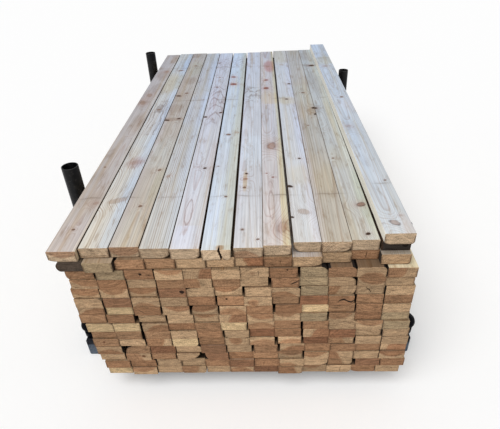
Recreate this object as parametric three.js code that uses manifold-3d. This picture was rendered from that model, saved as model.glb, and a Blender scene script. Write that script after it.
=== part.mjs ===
// A stack of surfaced two-by-four boards lying flat between the pipe posts of a steel rack.
// Fifteen layers of twelve boards rest on the rack's cross bearers, with one loose board on top.
// Millimetres. +X runs across the stack, +Y along the boards, +Z up, and the floor is at Z = 0.

import * as THREE from 'three';
import * as BufferGeometryUtils from 'three/addons/utils/BufferGeometryUtils.js';
import Module from 'manifold-3d';

const wasm = await Module();
wasm.setup();

// ---- Driving dimensions ------------------------------------------------------------------

const BOARD_L = 2134;        // seven-foot boards
const BOARD_W = 88.5;
const BOARD_T = 39;
const EASED = 3;             // eased long edges
const BOARDS = 12;           // boards side by side in a layer

const GAP = 0.3;             // the usual gap between neighbours
const STAGGER = 5;           // how far the ends wander from flush, either way
const SCANT = 0.8;           // how much thinner a scant board is
const WANE_RUN = 620;        // a waned corner fills out again over this length
const WANE_STEPS = 3;
const BULGE = 0.22;          // how near the curve of a cut corner comes to the corner, 0 to 1
const TIE_TOP = 7;           // the boards of a layer are joined this far under their faces
const TIE_END = 45;          // and this far behind their ends

// The split in the end of an upper board: `in` from its left edge at the top, leaning to the
// right by `lean` at the underside.
const SPLIT = { board: 6, in: 52, lean: 9, mouth: 4, deep: 24 };
const CUT_OVER = 2;          // how far a cut reaches past the faces it opens

const BASE_H = 85;           // floor to the underside of the bottom layer
const RAIL_W = 44;
const RAIL_WALL = 4;
const RAIL_SET_FRONT = 160;  // the rails start this far behind the boards' front ends
const RAIL_SET_BACK = 74;    // and stop this far short of their far ends
const PLUG_PLATE = 6;        // the plugs that close the rails' ends
const PLUG_STUB = 22;
const PLUG_CLEAR = 0.5;

const BEARER_W = 76;
const BEARER_H = 50;
const BEARER_WALL = 5;

const POST_D = 60.3;
const POST_WALL = 3.9;
const POST_CLEAR = 0.3;      // round the foot of a post in its sleeve
const POST_SET_FRONT = 402;  // the posts stand this far behind the boards' front ends
const POST_SET_BACK = 199;   // and this far short of their far ends
// Between the widest layer and a post on the rail's centre line.
const SIDE_GAP = { left: 23, right: 26 };
const SLEEVE_WALL = 6;
const SLEEVE_H = 110;
const TUBE_SIDES = 24;

const STOP_R = 40;           // the round corner stops: collar, neck and domed cap
const STOP_NECK_R = 24;
const STOP_COLLAR = 28;
const STOP_CAP = 36;         // height of the cap's underside
const STOP_BAND = 14;        // height of the cap's straight side
const STOP_H = 76;
const STOP_SET = 40;         // from the rail's end to the stop's axis

// The four posts: `top` is the height of the post's top over the top face of the upper full
// layer, below it when negative, and `aside` how far it stands off the rail's centre line.
const POSTS = {
  front_left: { top: 69, aside: 1 },
  back_left: { top: 69, aside: -15 },
  back_right: { top: -77, aside: -3 },
  front_right: { top: -214, aside: 3 },
};

// ---- How the layers lie -------------------------------------------------------------------
// Layers are counted from the top down, and boards from the left. In each layer `shift` is how
// far its middle lies to the right of the rack's, `wide` the wider gaps by the board to their
// left, `slim` how much narrower a board is, `out` how far a board's front end stands behind
// the flush line (negative: in front), and `wane` the corners that the round of the log took
// away at the front end, as [across, down].

const LAYERS = [
  { shift: -57, wide: { 1: 3.5, 2: 4, 3: 3.5, 4: 2, 5: 5.5, 6: 4.5 }, slim: { 8: 2, 9: 2, 11: 2.5 },
    out: { 1: -3, 2: 11, 3: 14, 4: 5, 5: 1, 6: -6, 7: 2, 8: 11, 9: 24, 10: 23, 11: 30, 12: 27 },
    wane: { 1: { bl: [40, 8] }, 4: { br: [10, 8] }, 5: { br: [12, 9] }, 6: { br: [9, 8] },
      9: { bl: [26, 22] }, 10: { br: [20, 15] }, 12: { tl: [24, 9] } } },
  { shift: -49, wide: { 2: 7, 3: 2.5, 4: 6 }, slim: { 1: 4, 6: 2, 7: 1, 8: 3.5, 11: 3 },
    out: { 1: -3, 2: -11, 3: 2, 4: 4, 5: 4, 6: 7, 7: 9, 8: 4, 9: 3, 10: 18, 11: 33, 12: 8 },
    wane: { 1: { bl: [12, 15], tl: [16, 18] }, 2: { bl: [8, 9] }, 9: { br: [40, 11] },
      12: { br: [8, 8] } } },
  { shift: -29.5, wide: { 1: 7, 2: 1.5, 3: 4.5, 8: 3.5, 11: 2.5 }, slim: { 4: 2.5, 6: 3, 9: 2, 10: 3 },
    out: { 12: -7 }, wane: { 9: { tr: [20, 17] }, 11: { tr: [10, 12] } } },
  { shift: -26.5, wide: { 2: 4, 3: 3, 7: 5 }, slim: { 1: 1, 4: 3, 5: 1.5, 6: 1.5, 10: 2.5, 11: 1.5 },
    wane: { 10: { tr: [14, 10] } } },
  { shift: -26.5, wide: { 1: 4, 2: 4.5, 3: 4.5, 6: 5.5, 8: 1.5, 11: 3.5 }, slim: { 7: 2.5, 9: 3, 10: 3 },
    wane: { 8: { tr: [10, 8] } } },
  { shift: -25, wide: { 1: 6, 2: 3.5, 3: 1.5, 4: 1.5, 5: 4.5, 11: 3 }, slim: { 6: 2.5, 10: 3 },
    wane: { 1: { tr: [18, 7] } } },
  { shift: -26.5, wide: { 1: 6, 2: 3.5, 3: 6, 4: 6, 7: 2 }, slim: { 9: 3, 10: 3, 11: 3 } },
  { shift: -26.5, wide: { 1: 4, 2: 18, 3: 7, 6: 3 }, slim: { 4: 2.5, 5: 3, 7: 3, 10: 3 } },
  { shift: -16, wide: { 1: 3, 2: 10.5, 4: 1.5, 6: 1.5, 8: 6 }, slim: { 3: 3, 5: 3, 9: 3, 12: 3 },
    wane: { 1: { tr: [16, 5] } } },
  { shift: -10.5, wide: { 2: 10.5, 3: 1.5, 5: 3.5, 8: 5.5, 11: 1.5 }, slim: { 1: 2, 6: 3, 7: 3, 10: 2.5 },
    wane: { 6: { bl: [12, 12] } } },
  { shift: -9, wide: { 1: 3, 2: 5.5, 3: 2.5, 4: 1.5, 5: 1.5, 7: 3.5, 11: 2.5 }, slim: { 6: 2.5, 8: 1.5 },
    wane: { 12: { tl: [24, 7] } } },
  { shift: -6, wide: { 1: 12, 5: 2.5, 6: 2.5, 7: 1.5, 9: 1.5 }, slim: { 10: 3, 11: 3 },
    wane: { 2: { tl: [18, 10] } } },
  { shift: -5.5, wide: { 1: 5, 2: 1.5, 3: 1.5, 4: 11 }, slim: { 5: 3, 6: 3, 10: 3 },
    wane: { 4: { tr: [22, 26] }, 5: { tl: [14, 20] } } },
  { shift: 3, wide: { 1: 3, 2: 9.5, 6: 1.5, 10: 6 }, slim: { 3: 3, 4: 2.5, 5: 1.5, 8: 3, 9: 3, 12: 3 },
    wane: { 9: { br: [22, 12] }, 10: { br: [14, 10] } } },
  { shift: -2, wide: { 1: 1.5, 2: 3.5, 4: 2.5 }, slim: { 5: 3, 6: 3, 7: 2, 8: 1, 9: 3, 11: 3, 12: 3 },
    wane: { 8: { br: [14, 8] } } },
];

// The board that lies by itself on top: `in` from the left edge of the last board under it.
const LOOSE = { in: 0.5, yaw: 0.24, out: 7 };

// ---- Derived places -----------------------------------------------------------------------

const FULL_TOP = BASE_H + LAYERS.length * BOARD_T;    // top face of the upper full layer
const layerFloor = (layer) => FULL_TOP - layer * BOARD_T;

const boardMaterial = new THREE.MeshStandardMaterial({ color: 0xcdbfa8, roughness: 0.8, metalness: 0 });
const darkMaterial = new THREE.MeshStandardMaterial({ color: 0x3b2c22, roughness: 0.85, metalness: 0 });
const layerMaterial = new THREE.MeshStandardMaterial({ color: 0xa88963, roughness: 0.8, metalness: 0 });
const steelMaterial = new THREE.MeshStandardMaterial({ color: 0x17181a, roughness: 0.5, metalness: 0.2 });

const plugMaterial = new THREE.MeshStandardMaterial({ color: 0x5b6672, roughness: 0.6, metalness: 0 });

const group = new THREE.Group();

function place(name, geometry, material, x = 0, y = 0, z = 0) {
  const mesh = new THREE.Mesh(geometry, material);
  mesh.name = name;
  mesh.position.set(x, y, z);
  group.add(mesh);
  return mesh;
}

// A repeatable wander between -1 and 1 for one board.
function wander(layer, board, salt) {
  const s = Math.sin(layer * 12.9898 + board * 78.233 + salt * 37.719) * 43758.5453;
  return 2 * (s - Math.floor(s)) - 1;
}

// ---- Booleans -----------------------------------------------------------------------------

function toSolid(geometry) {
  const bare = geometry.clone();
  bare.deleteAttribute('normal');
  bare.deleteAttribute('uv');
  const merged = BufferGeometryUtils.mergeVertices(bare);
  return new wasm.Manifold(new wasm.Mesh({
    numProp: 3,
    vertProperties: new Float32Array(merged.attributes.position.array),
    triVerts: new Uint32Array(merged.index.array),
  }));
}

function toGeometry(solid) {
  const mesh = solid.getMesh();
  const geometry = new THREE.BufferGeometry();
  geometry.setAttribute('position', new THREE.BufferAttribute(mesh.vertProperties, 3));
  geometry.setIndex(new THREE.BufferAttribute(mesh.triVerts, 1));
  return geometry;
}

// ---- Boards -------------------------------------------------------------------------------

// The section of a board as a ring of points, anticlockwise from its lower left corner, which
// is the origin. Each corner is eased, or waned: cut back `across` and `down` along a curve
// that bulges towards the corner. With `filled` a waned corner is drawn as an eased one.
function boardSection(width, thick, wane, filled) {
  const corners = [
    { key: 'bl', x: 0, y: 0, sx: 1, sy: 1, sideFirst: true },
    { key: 'br', x: width, y: 0, sx: -1, sy: 1, sideFirst: false },
    { key: 'tr', x: width, y: thick, sx: -1, sy: -1, sideFirst: true },
    { key: 'tl', x: 0, y: thick, sx: 1, sy: -1, sideFirst: false },
  ];
  const points = [];
  for (const corner of corners) {
    const waned = wane[corner.key];
    const [across, down] = waned && !filled ? waned : [EASED, EASED];
    const at = (u, v) => new THREE.Vector2(corner.x + corner.sx * u, corner.y + corner.sy * v);
    const ends = [at(0, down), at(across, 0)];
    if (!corner.sideFirst) ends.reverse();
    const curve = new THREE.QuadraticBezierCurve(ends[0], at(across * BULGE, down * BULGE), ends[1]);
    points.push(...curve.getPoints(waned ? WANE_STEPS : 1));
  }
  return points;
}

// A solid through rings of equally many points, each ring at its own distance along +Y.
function loft(rings) {
  const count = rings[0].points.length;
  const positions = rings.flatMap(({ y, points }) => points.flatMap((p) => [p.x, y, p.y]));
  const index = [];
  for (let ring = 0; ring < rings.length - 1; ring += 1) {
    for (let i = 0; i < count; i += 1) {
      const a = ring * count + i;
      const b = ring * count + (i + 1) % count;
      index.push(a, a + count, b + count, a, b + count, b);
    }
  }
  const last = (rings.length - 1) * count;
  for (const [a, b, c] of THREE.ShapeUtils.triangulateShape(rings[0].points, [])) {
    index.push(a, b, c);
  }
  for (const [a, b, c] of THREE.ShapeUtils.triangulateShape(rings.at(-1).points, [])) {
    index.push(last + a, last + c, last + b);
  }
  const geometry = new THREE.BufferGeometry();
  geometry.setAttribute('position', new THREE.Float32BufferAttribute(positions, 3));
  geometry.setIndex(index);
  return geometry;
}

// A board lying along +Y, with its lower left front corner at x, front, z. A waned corner runs
// out along the board, and the rest of the length is full.
function boardGeometry({ x, front, width, thick, wane = {} }, z) {
  const full = boardSection(width, thick, wane, true);
  const rings = [{ y: 0, points: boardSection(width, thick, wane, false) }];
  if (Object.keys(wane).length > 0) rings.push({ y: WANE_RUN, points: full });
  rings.push({ y: BOARD_L, points: full });
  const geometry = loft(rings);
  geometry.translate(x, front, z);
  return geometry;
}

// Where each board of a layer lies: its left edge, front end, sizes and waned corners.
function layout(index) {
  const layer = LAYERS[index];
  const number = index + 1;
  const boards = [];
  let x = 0;
  for (let board = 1; board <= BOARDS; board += 1) {
    const scant = number > 2 && wander(number, board, 5) > 0.55 ? SCANT : 0;
    const width = BOARD_W - (layer.slim?.[board] ?? 0);
    boards.push({
      x,
      width,
      front: layer.out?.[board] ?? STAGGER * wander(number, board, 1),
      thick: BOARD_T - scant,
      wane: layer.wane?.[board],
    });
    x += width + (layer.wide?.[board] ?? GAP);
  }
  const layerWidth = boards[BOARDS - 1].x + boards[BOARDS - 1].width;
  for (const board of boards) board.x += layer.shift - layerWidth / 2;
  return boards;
}

// A whole layer as one solid: its boards, joined by a slab that stays behind every face.
function layerGeometry(index) {
  const boards = layout(index);
  const z = layerFloor(index + 1);
  const fronts = boards.map((board) => board.front);
  const tieFront = Math.max(...fronts) + TIE_END;
  const tieBack = Math.min(...fronts) + BOARD_L - TIE_END;
  const tieLeft = boards[0].x + BOARD_W / 2;
  const tieRight = boards[BOARDS - 1].x + BOARD_W / 2;
  const tie = new THREE.BoxGeometry(tieRight - tieLeft, tieBack - tieFront, BOARD_T - 2 * TIE_TOP);
  tie.translate((tieLeft + tieRight) / 2, (tieFront + tieBack) / 2, z + BOARD_T / 2);
  let solid = toSolid(tie);
  for (const board of boards) solid = solid.add(toSolid(boardGeometry(board, z)));
  return toGeometry(solid);
}

// The wedge that the split takes out of a board's end: open at the end, leaning to the right
// towards the underside, and closing to nothing inside the board.
function splitWedge(board, z) {
  const wedge = new THREE.Shape([
    new THREE.Vector2(SPLIT.in - SPLIT.mouth / 2, -CUT_OVER),
    new THREE.Vector2(SPLIT.in + SPLIT.mouth / 2, -CUT_OVER),
    new THREE.Vector2(SPLIT.in, SPLIT.deep),
  ]);
  const geometry = new THREE.ExtrudeGeometry(wedge, {
    depth: BOARD_T + 2 * CUT_OVER,
    bevelEnabled: false,
  });
  geometry.translate(0, 0, -CUT_OVER - BOARD_T);
  geometry.applyMatrix4(new THREE.Matrix4().makeShear(0, 0, 0, 0, -SPLIT.lean / BOARD_T, 0));
  geometry.translate(board.x, board.front, z + BOARD_T);
  return geometry;
}

const upperBoards = layout(0);
upperBoards.forEach((board, i) => {
  const number = i + 1;
  const material = number === BOARDS ? darkMaterial : boardMaterial;
  let geometry = boardGeometry(board, layerFloor(1));
  if (number === SPLIT.board) {
    const wedge = toSolid(splitWedge(board, layerFloor(1)));
    geometry = toGeometry(toSolid(geometry).subtract(wedge));
  }
  place(`board_${String(number).padStart(2, '0')}`, geometry, material);
});

for (let index = 1; index < LAYERS.length; index += 1) {
  place(`layer_${String(index + 1).padStart(2, '0')}`, layerGeometry(index), layerMaterial);
}

const looseShape = { x: 0, front: 0, width: BOARD_W, thick: BOARD_T };
const looseLeft = upperBoards[BOARDS - 1].x + LOOSE.in;
const looseGeometry = boardGeometry(looseShape, 0);
const loose = place('board_loose', looseGeometry, boardMaterial, looseLeft, LOOSE.out, FULL_TOP);
loose.rotation.z = THREE.MathUtils.degToRad(LOOSE.yaw);

// ---- Rack ---------------------------------------------------------------------------------

// A rectangular tube of the given outside size, open at both ends, lying along +Y from 0.
function boxTube(width, height, wall, length) {
  const outer = new THREE.Shape([
    new THREE.Vector2(-width / 2, 0),
    new THREE.Vector2(width / 2, 0),
    new THREE.Vector2(width / 2, height),
    new THREE.Vector2(-width / 2, height),
  ]);
  outer.holes.push(new THREE.Path([
    new THREE.Vector2(-width / 2 + wall, wall),
    new THREE.Vector2(-width / 2 + wall, height - wall),
    new THREE.Vector2(width / 2 - wall, height - wall),
    new THREE.Vector2(width / 2 - wall, wall),
  ]));
  const geometry = new THREE.ExtrudeGeometry(outer, { depth: length, bevelEnabled: false });
  geometry.rotateX(Math.PI / 2);
  geometry.translate(0, length, 0);
  return geometry;
}

// The plug in a rail's end: a plate over the tube's end face with its edges chamfered, and a
// stub inside the tube. The tube's end face is at Y = 0 and the tube goes on along +Y.
function railPlug() {
  const rectangle = (inset) => [
    new THREE.Vector2(-RAIL_W / 2 + inset, inset),
    new THREE.Vector2(RAIL_W / 2 - inset, inset),
    new THREE.Vector2(RAIL_W / 2 - inset, BASE_H - inset),
    new THREE.Vector2(-RAIL_W / 2 + inset, BASE_H - inset),
  ];
  const plate = loft([
    { y: -PLUG_PLATE, points: rectangle(PLUG_PLATE / 2) },
    { y: -PLUG_PLATE / 2, points: rectangle(0) },
    { y: 0, points: rectangle(0) },
  ]);
  const stubSection = rectangle(RAIL_WALL + PLUG_CLEAR);
  const stub = loft([
    { y: -PLUG_PLATE / 2, points: stubSection },
    { y: PLUG_STUB, points: stubSection },
  ]);
  return toGeometry(toSolid(plate).add(toSolid(stub)));
}

// A round tube standing on Z = 0.
function roundTube(outer, wall, height) {
  const profile = [
    new THREE.Vector2(outer / 2 - wall, 0),
    new THREE.Vector2(outer / 2, 0),
    new THREE.Vector2(outer / 2, height),
    new THREE.Vector2(outer / 2 - wall, height),
    new THREE.Vector2(outer / 2 - wall, 0),
  ];
  const geometry = new THREE.LatheGeometry(profile, TUBE_SIDES);
  geometry.rotateX(Math.PI / 2);
  return geometry;
}

// A corner stop standing on Z = 0: a round collar, a neck, and a wider cap with a domed top.
function cornerStop() {
  const dome = new THREE.EllipseCurve(
    0, STOP_CAP + STOP_BAND, STOP_R, STOP_H - STOP_CAP - STOP_BAND, 0, Math.PI / 2,
  );
  const profile = [
    new THREE.Vector2(0, 0),
    new THREE.Vector2(STOP_R, 0),
    new THREE.Vector2(STOP_R, STOP_COLLAR),
    new THREE.Vector2(STOP_NECK_R, STOP_COLLAR),
    new THREE.Vector2(STOP_NECK_R, STOP_CAP),
    new THREE.Vector2(STOP_R, STOP_CAP),
    ...dome.getPoints(5),
  ];
  const geometry = new THREE.LatheGeometry(profile, TUBE_SIDES);
  geometry.rotateX(Math.PI / 2);
  return geometry;
}

// The rails run beside the widest layers, and each carries the posts and stops of its side.
const edges = LAYERS.flatMap((layer, index) => {
  const boards = layout(index);
  const last = boards[BOARDS - 1];
  return [boards[0].x, last.x + last.width];
});
const railX = {
  left: Math.min(...edges) - SIDE_GAP.left - POST_D / 2,
  right: Math.max(...edges) + SIDE_GAP.right + POST_D / 2,
};
const railFront = RAIL_SET_FRONT;
const railBack = BOARD_L - RAIL_SET_BACK;
const postY = { front: POST_SET_FRONT, back: BOARD_L - POST_SET_BACK };

for (const [side, x] of Object.entries(railX)) {
  const tube = boxTube(RAIL_W, BASE_H, RAIL_WALL, railBack - railFront);
  place(`rail_${side}`, tube, steelMaterial, x, railFront, 0);
  place(`rail_plug_front_${side}`, railPlug(), plugMaterial, x, railFront, 0);
  place(`rail_plug_back_${side}`, railPlug().rotateZ(Math.PI), plugMaterial, x, railBack, 0);
  place(`corner_stop_front_${side}`, cornerStop(), steelMaterial, x, railFront + STOP_SET, BASE_H);
  place(`corner_stop_back_${side}`, cornerStop(), steelMaterial, x, railBack - STOP_SET, BASE_H);
}

const bearerLeft = railX.left + RAIL_W / 2;
const bearerRight = railX.right - RAIL_W / 2;
const bearerY = { ...postY, middle: (postY.front + postY.back) / 2 };
for (const [name, y] of Object.entries(bearerY)) {
  const geometry = boxTube(BEARER_W, BEARER_H, BEARER_WALL, bearerRight - bearerLeft);
  geometry.rotateZ(-Math.PI / 2);
  place(`bearer_${name}`, geometry, steelMaterial, bearerLeft, y, BASE_H - BEARER_H);
}

const sleeveOuter = POST_D + 2 * POST_CLEAR + 2 * SLEEVE_WALL;
for (const [corner, { top, aside }] of Object.entries(POSTS)) {
  const [end, side] = corner.split('_');
  const x = railX[side] + aside;
  const y = postY[end];
  place(`sleeve_${corner}`, roundTube(sleeveOuter, SLEEVE_WALL, SLEEVE_H), steelMaterial, x, y, BASE_H);
  const height = FULL_TOP + top - BASE_H;
  place(`post_${corner}`, roundTube(POST_D, POST_WALL, height), steelMaterial, x, y, BASE_H);
}

// ---- Origin: under the middle of the whole, on the floor ----------------------------------

const box = new THREE.Box3().setFromObject(group);
const middle = box.getCenter(new THREE.Vector3());
group.position.set(-middle.x, -middle.y, -box.min.z);

export default group;
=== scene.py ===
"""A stack of surfaced boards lying in a steel post rack.

The boards are rebuilt over the frame's boards with rounded edges, wane, knots and growth
rings. The steel is rebuilt with rounded lips, welds and set screws. Lengths are in metres;
tables that are in millimetres say so. Angles are in radians but where degrees are named.
"""

import math

import bpy
import numpy as np
from mathutils import Matrix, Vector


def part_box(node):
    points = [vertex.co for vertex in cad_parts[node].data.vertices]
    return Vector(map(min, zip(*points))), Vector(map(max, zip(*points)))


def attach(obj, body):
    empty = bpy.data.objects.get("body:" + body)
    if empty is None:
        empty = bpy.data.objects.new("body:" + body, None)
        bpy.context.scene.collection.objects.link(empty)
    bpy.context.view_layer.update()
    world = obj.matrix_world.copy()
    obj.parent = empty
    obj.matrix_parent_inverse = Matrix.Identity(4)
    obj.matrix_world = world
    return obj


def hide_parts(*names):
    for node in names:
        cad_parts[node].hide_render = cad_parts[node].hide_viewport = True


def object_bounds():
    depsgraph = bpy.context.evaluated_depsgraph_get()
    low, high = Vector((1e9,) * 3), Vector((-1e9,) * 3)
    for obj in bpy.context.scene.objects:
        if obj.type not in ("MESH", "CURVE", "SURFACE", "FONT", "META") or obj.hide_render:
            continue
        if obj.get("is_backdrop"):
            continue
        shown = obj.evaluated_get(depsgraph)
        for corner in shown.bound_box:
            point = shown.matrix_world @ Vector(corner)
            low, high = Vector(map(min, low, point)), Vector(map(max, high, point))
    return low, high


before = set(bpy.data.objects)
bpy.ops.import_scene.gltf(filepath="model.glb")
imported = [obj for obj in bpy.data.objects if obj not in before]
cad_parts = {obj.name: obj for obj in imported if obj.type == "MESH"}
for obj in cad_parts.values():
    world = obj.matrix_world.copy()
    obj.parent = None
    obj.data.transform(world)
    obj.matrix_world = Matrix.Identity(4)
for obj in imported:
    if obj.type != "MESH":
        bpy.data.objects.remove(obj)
CAD_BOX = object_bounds()

MM = 0.001

# ---- Boards: sizes that the frame doesn't carry --------------------------------------------

EASED = 3.0 * MM              # radius of an eased edge
FULL_THICK = 39 * MM          # thickness that lower boards are filled up to
WANED = 4.5 * MM              # a corner cut deeper than this is wane
WANE_RUN = 620 * MM           # a waned corner fills out again over this length
WANE_BULGE = 0.22             # how far a wane's curve is pulled towards the corner
WANE_RAGGED = 0.22            # how much its depth wanders along the board
WANE_STATIONS = 22
BARK_RUN = 0.9 * WANE_RUN     # bark shows this far along it
KNOT_EVERY = 0.45             # between the knots of boards that the tables don't list
ARRIS = 0.5 * MM              # the small bevel round a sawn end
CORNER_NAMES = ("bl", "br", "tr", "tl")
CORNER_POINTS = 6
FRONT_REACH = 45.5 * MM       # board ends lie within this distance behind the foremost one
NEAR_GAP = 0.1 * MM           # ends that lie further apart are two boards
ON_EDGE = 0.05 * MM           # points this near to an end's outermost one are on its edge
SHOWS_BARE = 6 * MM           # a side that stands out further than this gets no painted gap shade there

SPLIT_BOARD = (1, 6)          # layer and board
SPLIT_IN = 52 * MM            # from the board's left edge, at the top
SPLIT_LEAN = 9 * MM           # how far to the right it is at the underside
SPLIT_MOUTH = 8 * MM
SPLIT_DEEP = 24 * MM

PLANED, SAWN, BARK = 0, 1, 2  # material slots of a board
WHOLE = 400                   # a heartwood radius, in millimetres, that takes in any board

LIT_BEHIND = (0.008, 0.028)   # behind a board's end, light falls off between these
HOLE_FLOORS = ((14, 4), (14, 5))        # boards under the large hole in the front
HOLE_DARKER = 5               # light falls off this many times faster in the hole
OUTSIDE = -1.0                # stands for the distance from an end where daylight reaches
STICKER_LINES = (-0.79, 0.15, 0.73)     # where laths lay across the upper boards
PLUG_BLACK_TOP = (0.052, 0.064)   # plugs turn black between these heights


def linear(tone):
    """A tone of 0 to 255 as Blender's linear colour: the sRGB curve, undone."""
    c = np.asarray(tone, float) / 255
    return np.where(c <= 0.04045, c / 12.92, ((c + 0.055) / 1.055) ** 2.4)


# Tones of planed faces, by name.
FACE_TONES = {
    "pink_tan": (210, 201, 192), "cream": (221, 214, 201), "pale_cream": (227, 222, 211),
    "tan_grey": (209, 199, 184), "grey_white": (214, 211, 204), "pink_white": (228, 226, 228),
    "blue_white": (226, 232, 236), "cool_white": (221, 225, 227), "soft_white": (217, 219, 217),
    "white": (225, 223, 222), "pink": (226, 217, 211), "cold_white": (228, 226, 222),
    "brown": (207, 197, 180), "grey_green": (208, 206, 198), "green_cream": (219, 218, 204),
    "yellow_cream": (228, 217, 186), "pale_yellow": (255, 250, 236), "sand": (205, 186, 155),
    "dull_sand": (142, 120, 94), "dull_brown": (120, 98, 76), "weathered": (84, 76, 66),
    "shaded_white": (193, 184, 177), "worn_sand": (176, 155, 130), "lath_grey": (170, 158, 142),
}
# Each upper board; the loose one is 0. Its tone, the tone along one side of it, and where that
# side begins, in millimetres from the left edge (negative: it lies to the left of that line).
# Then its log: where the middle lies from the middle of the board's section and how wide the
# rings are, in millimetres, how strongly they show, how the log tapers and how red they are.
UPPER_BOARDS = {
    0: ("cool_white", "soft_white", 66, (-16, -52), 3.4, 0.5, -0.01, 0.3),
    1: ("pink_tan", "cream", 82, (10, 70), 3.0, 0.4, 0.012, 0.5),
    2: ("pale_cream", "cool_white", 56, (-60, -34), 5.0, 1.0, 0.01, 0.2),
    3: ("tan_grey", "pink_tan", -16, (6, 48), 3.6, 0.6, 0.01, 0.4),
    4: ("grey_white", "cool_white", 66, (-66, -26), 5.4, 1.2, 0.01, 0.2),
    5: ("pink_white", "white", 52, (-8, -60), 3.4, 0.55, -0.009, 0.6),
    6: ("blue_white", "green_cream", 52, (46, -70), 3.2, 0.4, 0.01, 0.2),
    7: ("white", "pink_white", -22, (-24, -62), 3.6, 0.5, 0.01, 0.3),
    8: ("pink", "yellow_cream", 66, (-12, -60), 3.4, 0.55, -0.01, 0.7),
    9: ("cold_white", "pink_white", 58, (42, -46), 3.4, 0.4, -0.01, 0.2),
    10: ("brown", "pink_tan", -12, (45, -65), 5.2, 0.7, 0.01, 0.2),
    11: ("grey_green", "green_cream", 60, (-30, -44), 3.4, 0.6, 0.01, 0.2),
    12: ("weathered", "weathered", 90, (0, 60), 3.0, 0.5, 0.01, 0.0),
}
# Boards of lower layers whose long faces show from above at the front, and their tones.
SHOWN_BOARDS = {
    (2, 1): "weathered", (2, 2): "worn_sand", (2, 9): "shaded_white", (2, 12): "lath_grey",
    (3, 12): "yellow_cream",
}
OUTER_TONES = "sand cream yellow_cream tan_grey brown sand pink_tan green_cream cream".split()
# Boards below the top layer that aren't listed above take these dark tones on their long faces, as
# painted shade in the slits between layers.
INNER_TONES = "dull_sand dull_brown".split()
FAR_TONE = np.array([0.65, 0.75, 0.93])    # the far end of a long face against its near end

# How the wood of each end lies, layer by layer from the top and board by board from the left:
# s sapwood, y yellow sapwood, g greenish sapwood, h heartwood, r red heartwood, heartwood at
# the top t, bottom b, left l, right R or middle m, w dark grey-brown, d darker grey-brown.
ENDS = [
    "tstssstssssd", "wghhssRhsshs", "hghtRsshghbl", "thshlhshgsts", "tttrstsbglss",
    "srbshhmhrhhh", "byhttbhhyhhs", "hhsstRttgthg", "yybhhybhhstg", "hhhshsrhRrss",
    "hslyhmbbrlss", "bhrsrshbhhhR", "slhsrhhttlst", "hhsshrhbslrh", "ytslsbrltshs",
]
END_TONES = {
    "s": (180, 150, 117), "y": (208, 180, 139), "g": (163, 142, 112), "r": (164, 136, 107),
    "d": (62, 52, 44), "w": (82, 70, 60),
}

UPPER_ENDS = np.array([1.09, 1.2, 1.36])   # the upper boards' ends are paler and greyer

# Knots on the upper faces: distance along the board in metres, across it in millimetres,
# radius in millimetres, and kind.
KNOTS = {
    1: [(0.11, 47, 5, "brown"), (0.26, 72, 9, "stain"), (0.52, 29, 4, "brown"),
        (0.80, 50, 6, "swirl"), (1.22, 26, 15, "cloud"), (1.33, 40, 15, "cloud"),
        (1.75, 62, 16, "stain")],
    2: [(0.26, 50, 16, "tan"), (0.54, 54, 17, "pink"), (1.10, 38, 6, "brown"),
        (1.75, 55, 9, "brown")],
    3: [(0.22, 47, 6, "brown"), (0.47, 67, 6, "brown"), (0.72, 40, 14, "swirl"),
        (0.96, 10, 8, "dark"), (0.975, 66, 7, "dark"), (1.29, 19, 9, "dark"),
        (1.33, 56, 9, "brown"), (1.84, 47, 9, "brown")],
    4: [(0.43, 17, 6, "pink"), (1.23, 63, 3, "brown")],
    5: [(0.49, 57, 6, "dark"), (0.50, 30, 5, "pink"), (1.00, 9, 8, "dark"),
        (1.05, 78, 7, "dark"), (1.43, 31, 8, "brown"), (1.60, 36, 5, "brown"),
        (1.90, 12, 7, "dark")],
    6: [(0.29, 56, 5, "brown"), (0.51, 14, 3, "brown"), (0.80, 37, 9, "brown"),
        (0.82, 74, 10, "tan"), (1.48, 28, 16, "red"), (1.61, 22, 11, "red")],
    7: [(0.04, 72, 4, "brown"), (0.09, 24, 4, "brown"), (0.34, 24, 6, "brown"),
        (0.40, 26, 9, "amber"), (0.44, 29, 5, "dark"), (1.30, 62, 5, "brown"),
        (1.38, 20, 5, "brown")],
    8: [(0.09, 60, 15, "blush"), (0.40, 40, 4, "red"), (0.43, 18, 3, "red"),
        (0.66, 40, 17, "target"), (1.38, 29, 15, "red"), (1.52, 31, 11, "red"),
        (1.78, 44, 8, "stain")],
    9: [(0.13, 2, 5, "hole"), (0.16, 43, 15, "tan"), (0.32, 6, 8, "hole"), (0.53, 57, 5, "dark"),
        (1.19, 42, 7, "dark"), (1.43, 68, 8, "dark"), (1.80, 40, 10, "tan")],
    10: [(0.85, 37, 4, "brown"), (0.98, 88, 11, "hole"), (1.06, 87, 12, "hole"),
        (1.28, 50, 8, "brown")],
    11: [(0.03, 53, 6, "dark"), (0.19, 62, 11, "red_ring"), (0.52, 16, 5, "brown"),
        (0.80, 40, 9, "swirl"), (1.05, 1, 11, "dark"), (1.76, 54, 14, "dark")],
    0: [(0.054, 40, 11, "ring"), (0.09, 66, 5, "pink"), (0.30, 70, 4, "brown"),
        (0.74, 40, 16, "swirl"), (0.76, 24, 12, "pink"), (1.11, 51, 8, "brown"),
        (1.63, 36, 13, "stain")],
}
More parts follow.
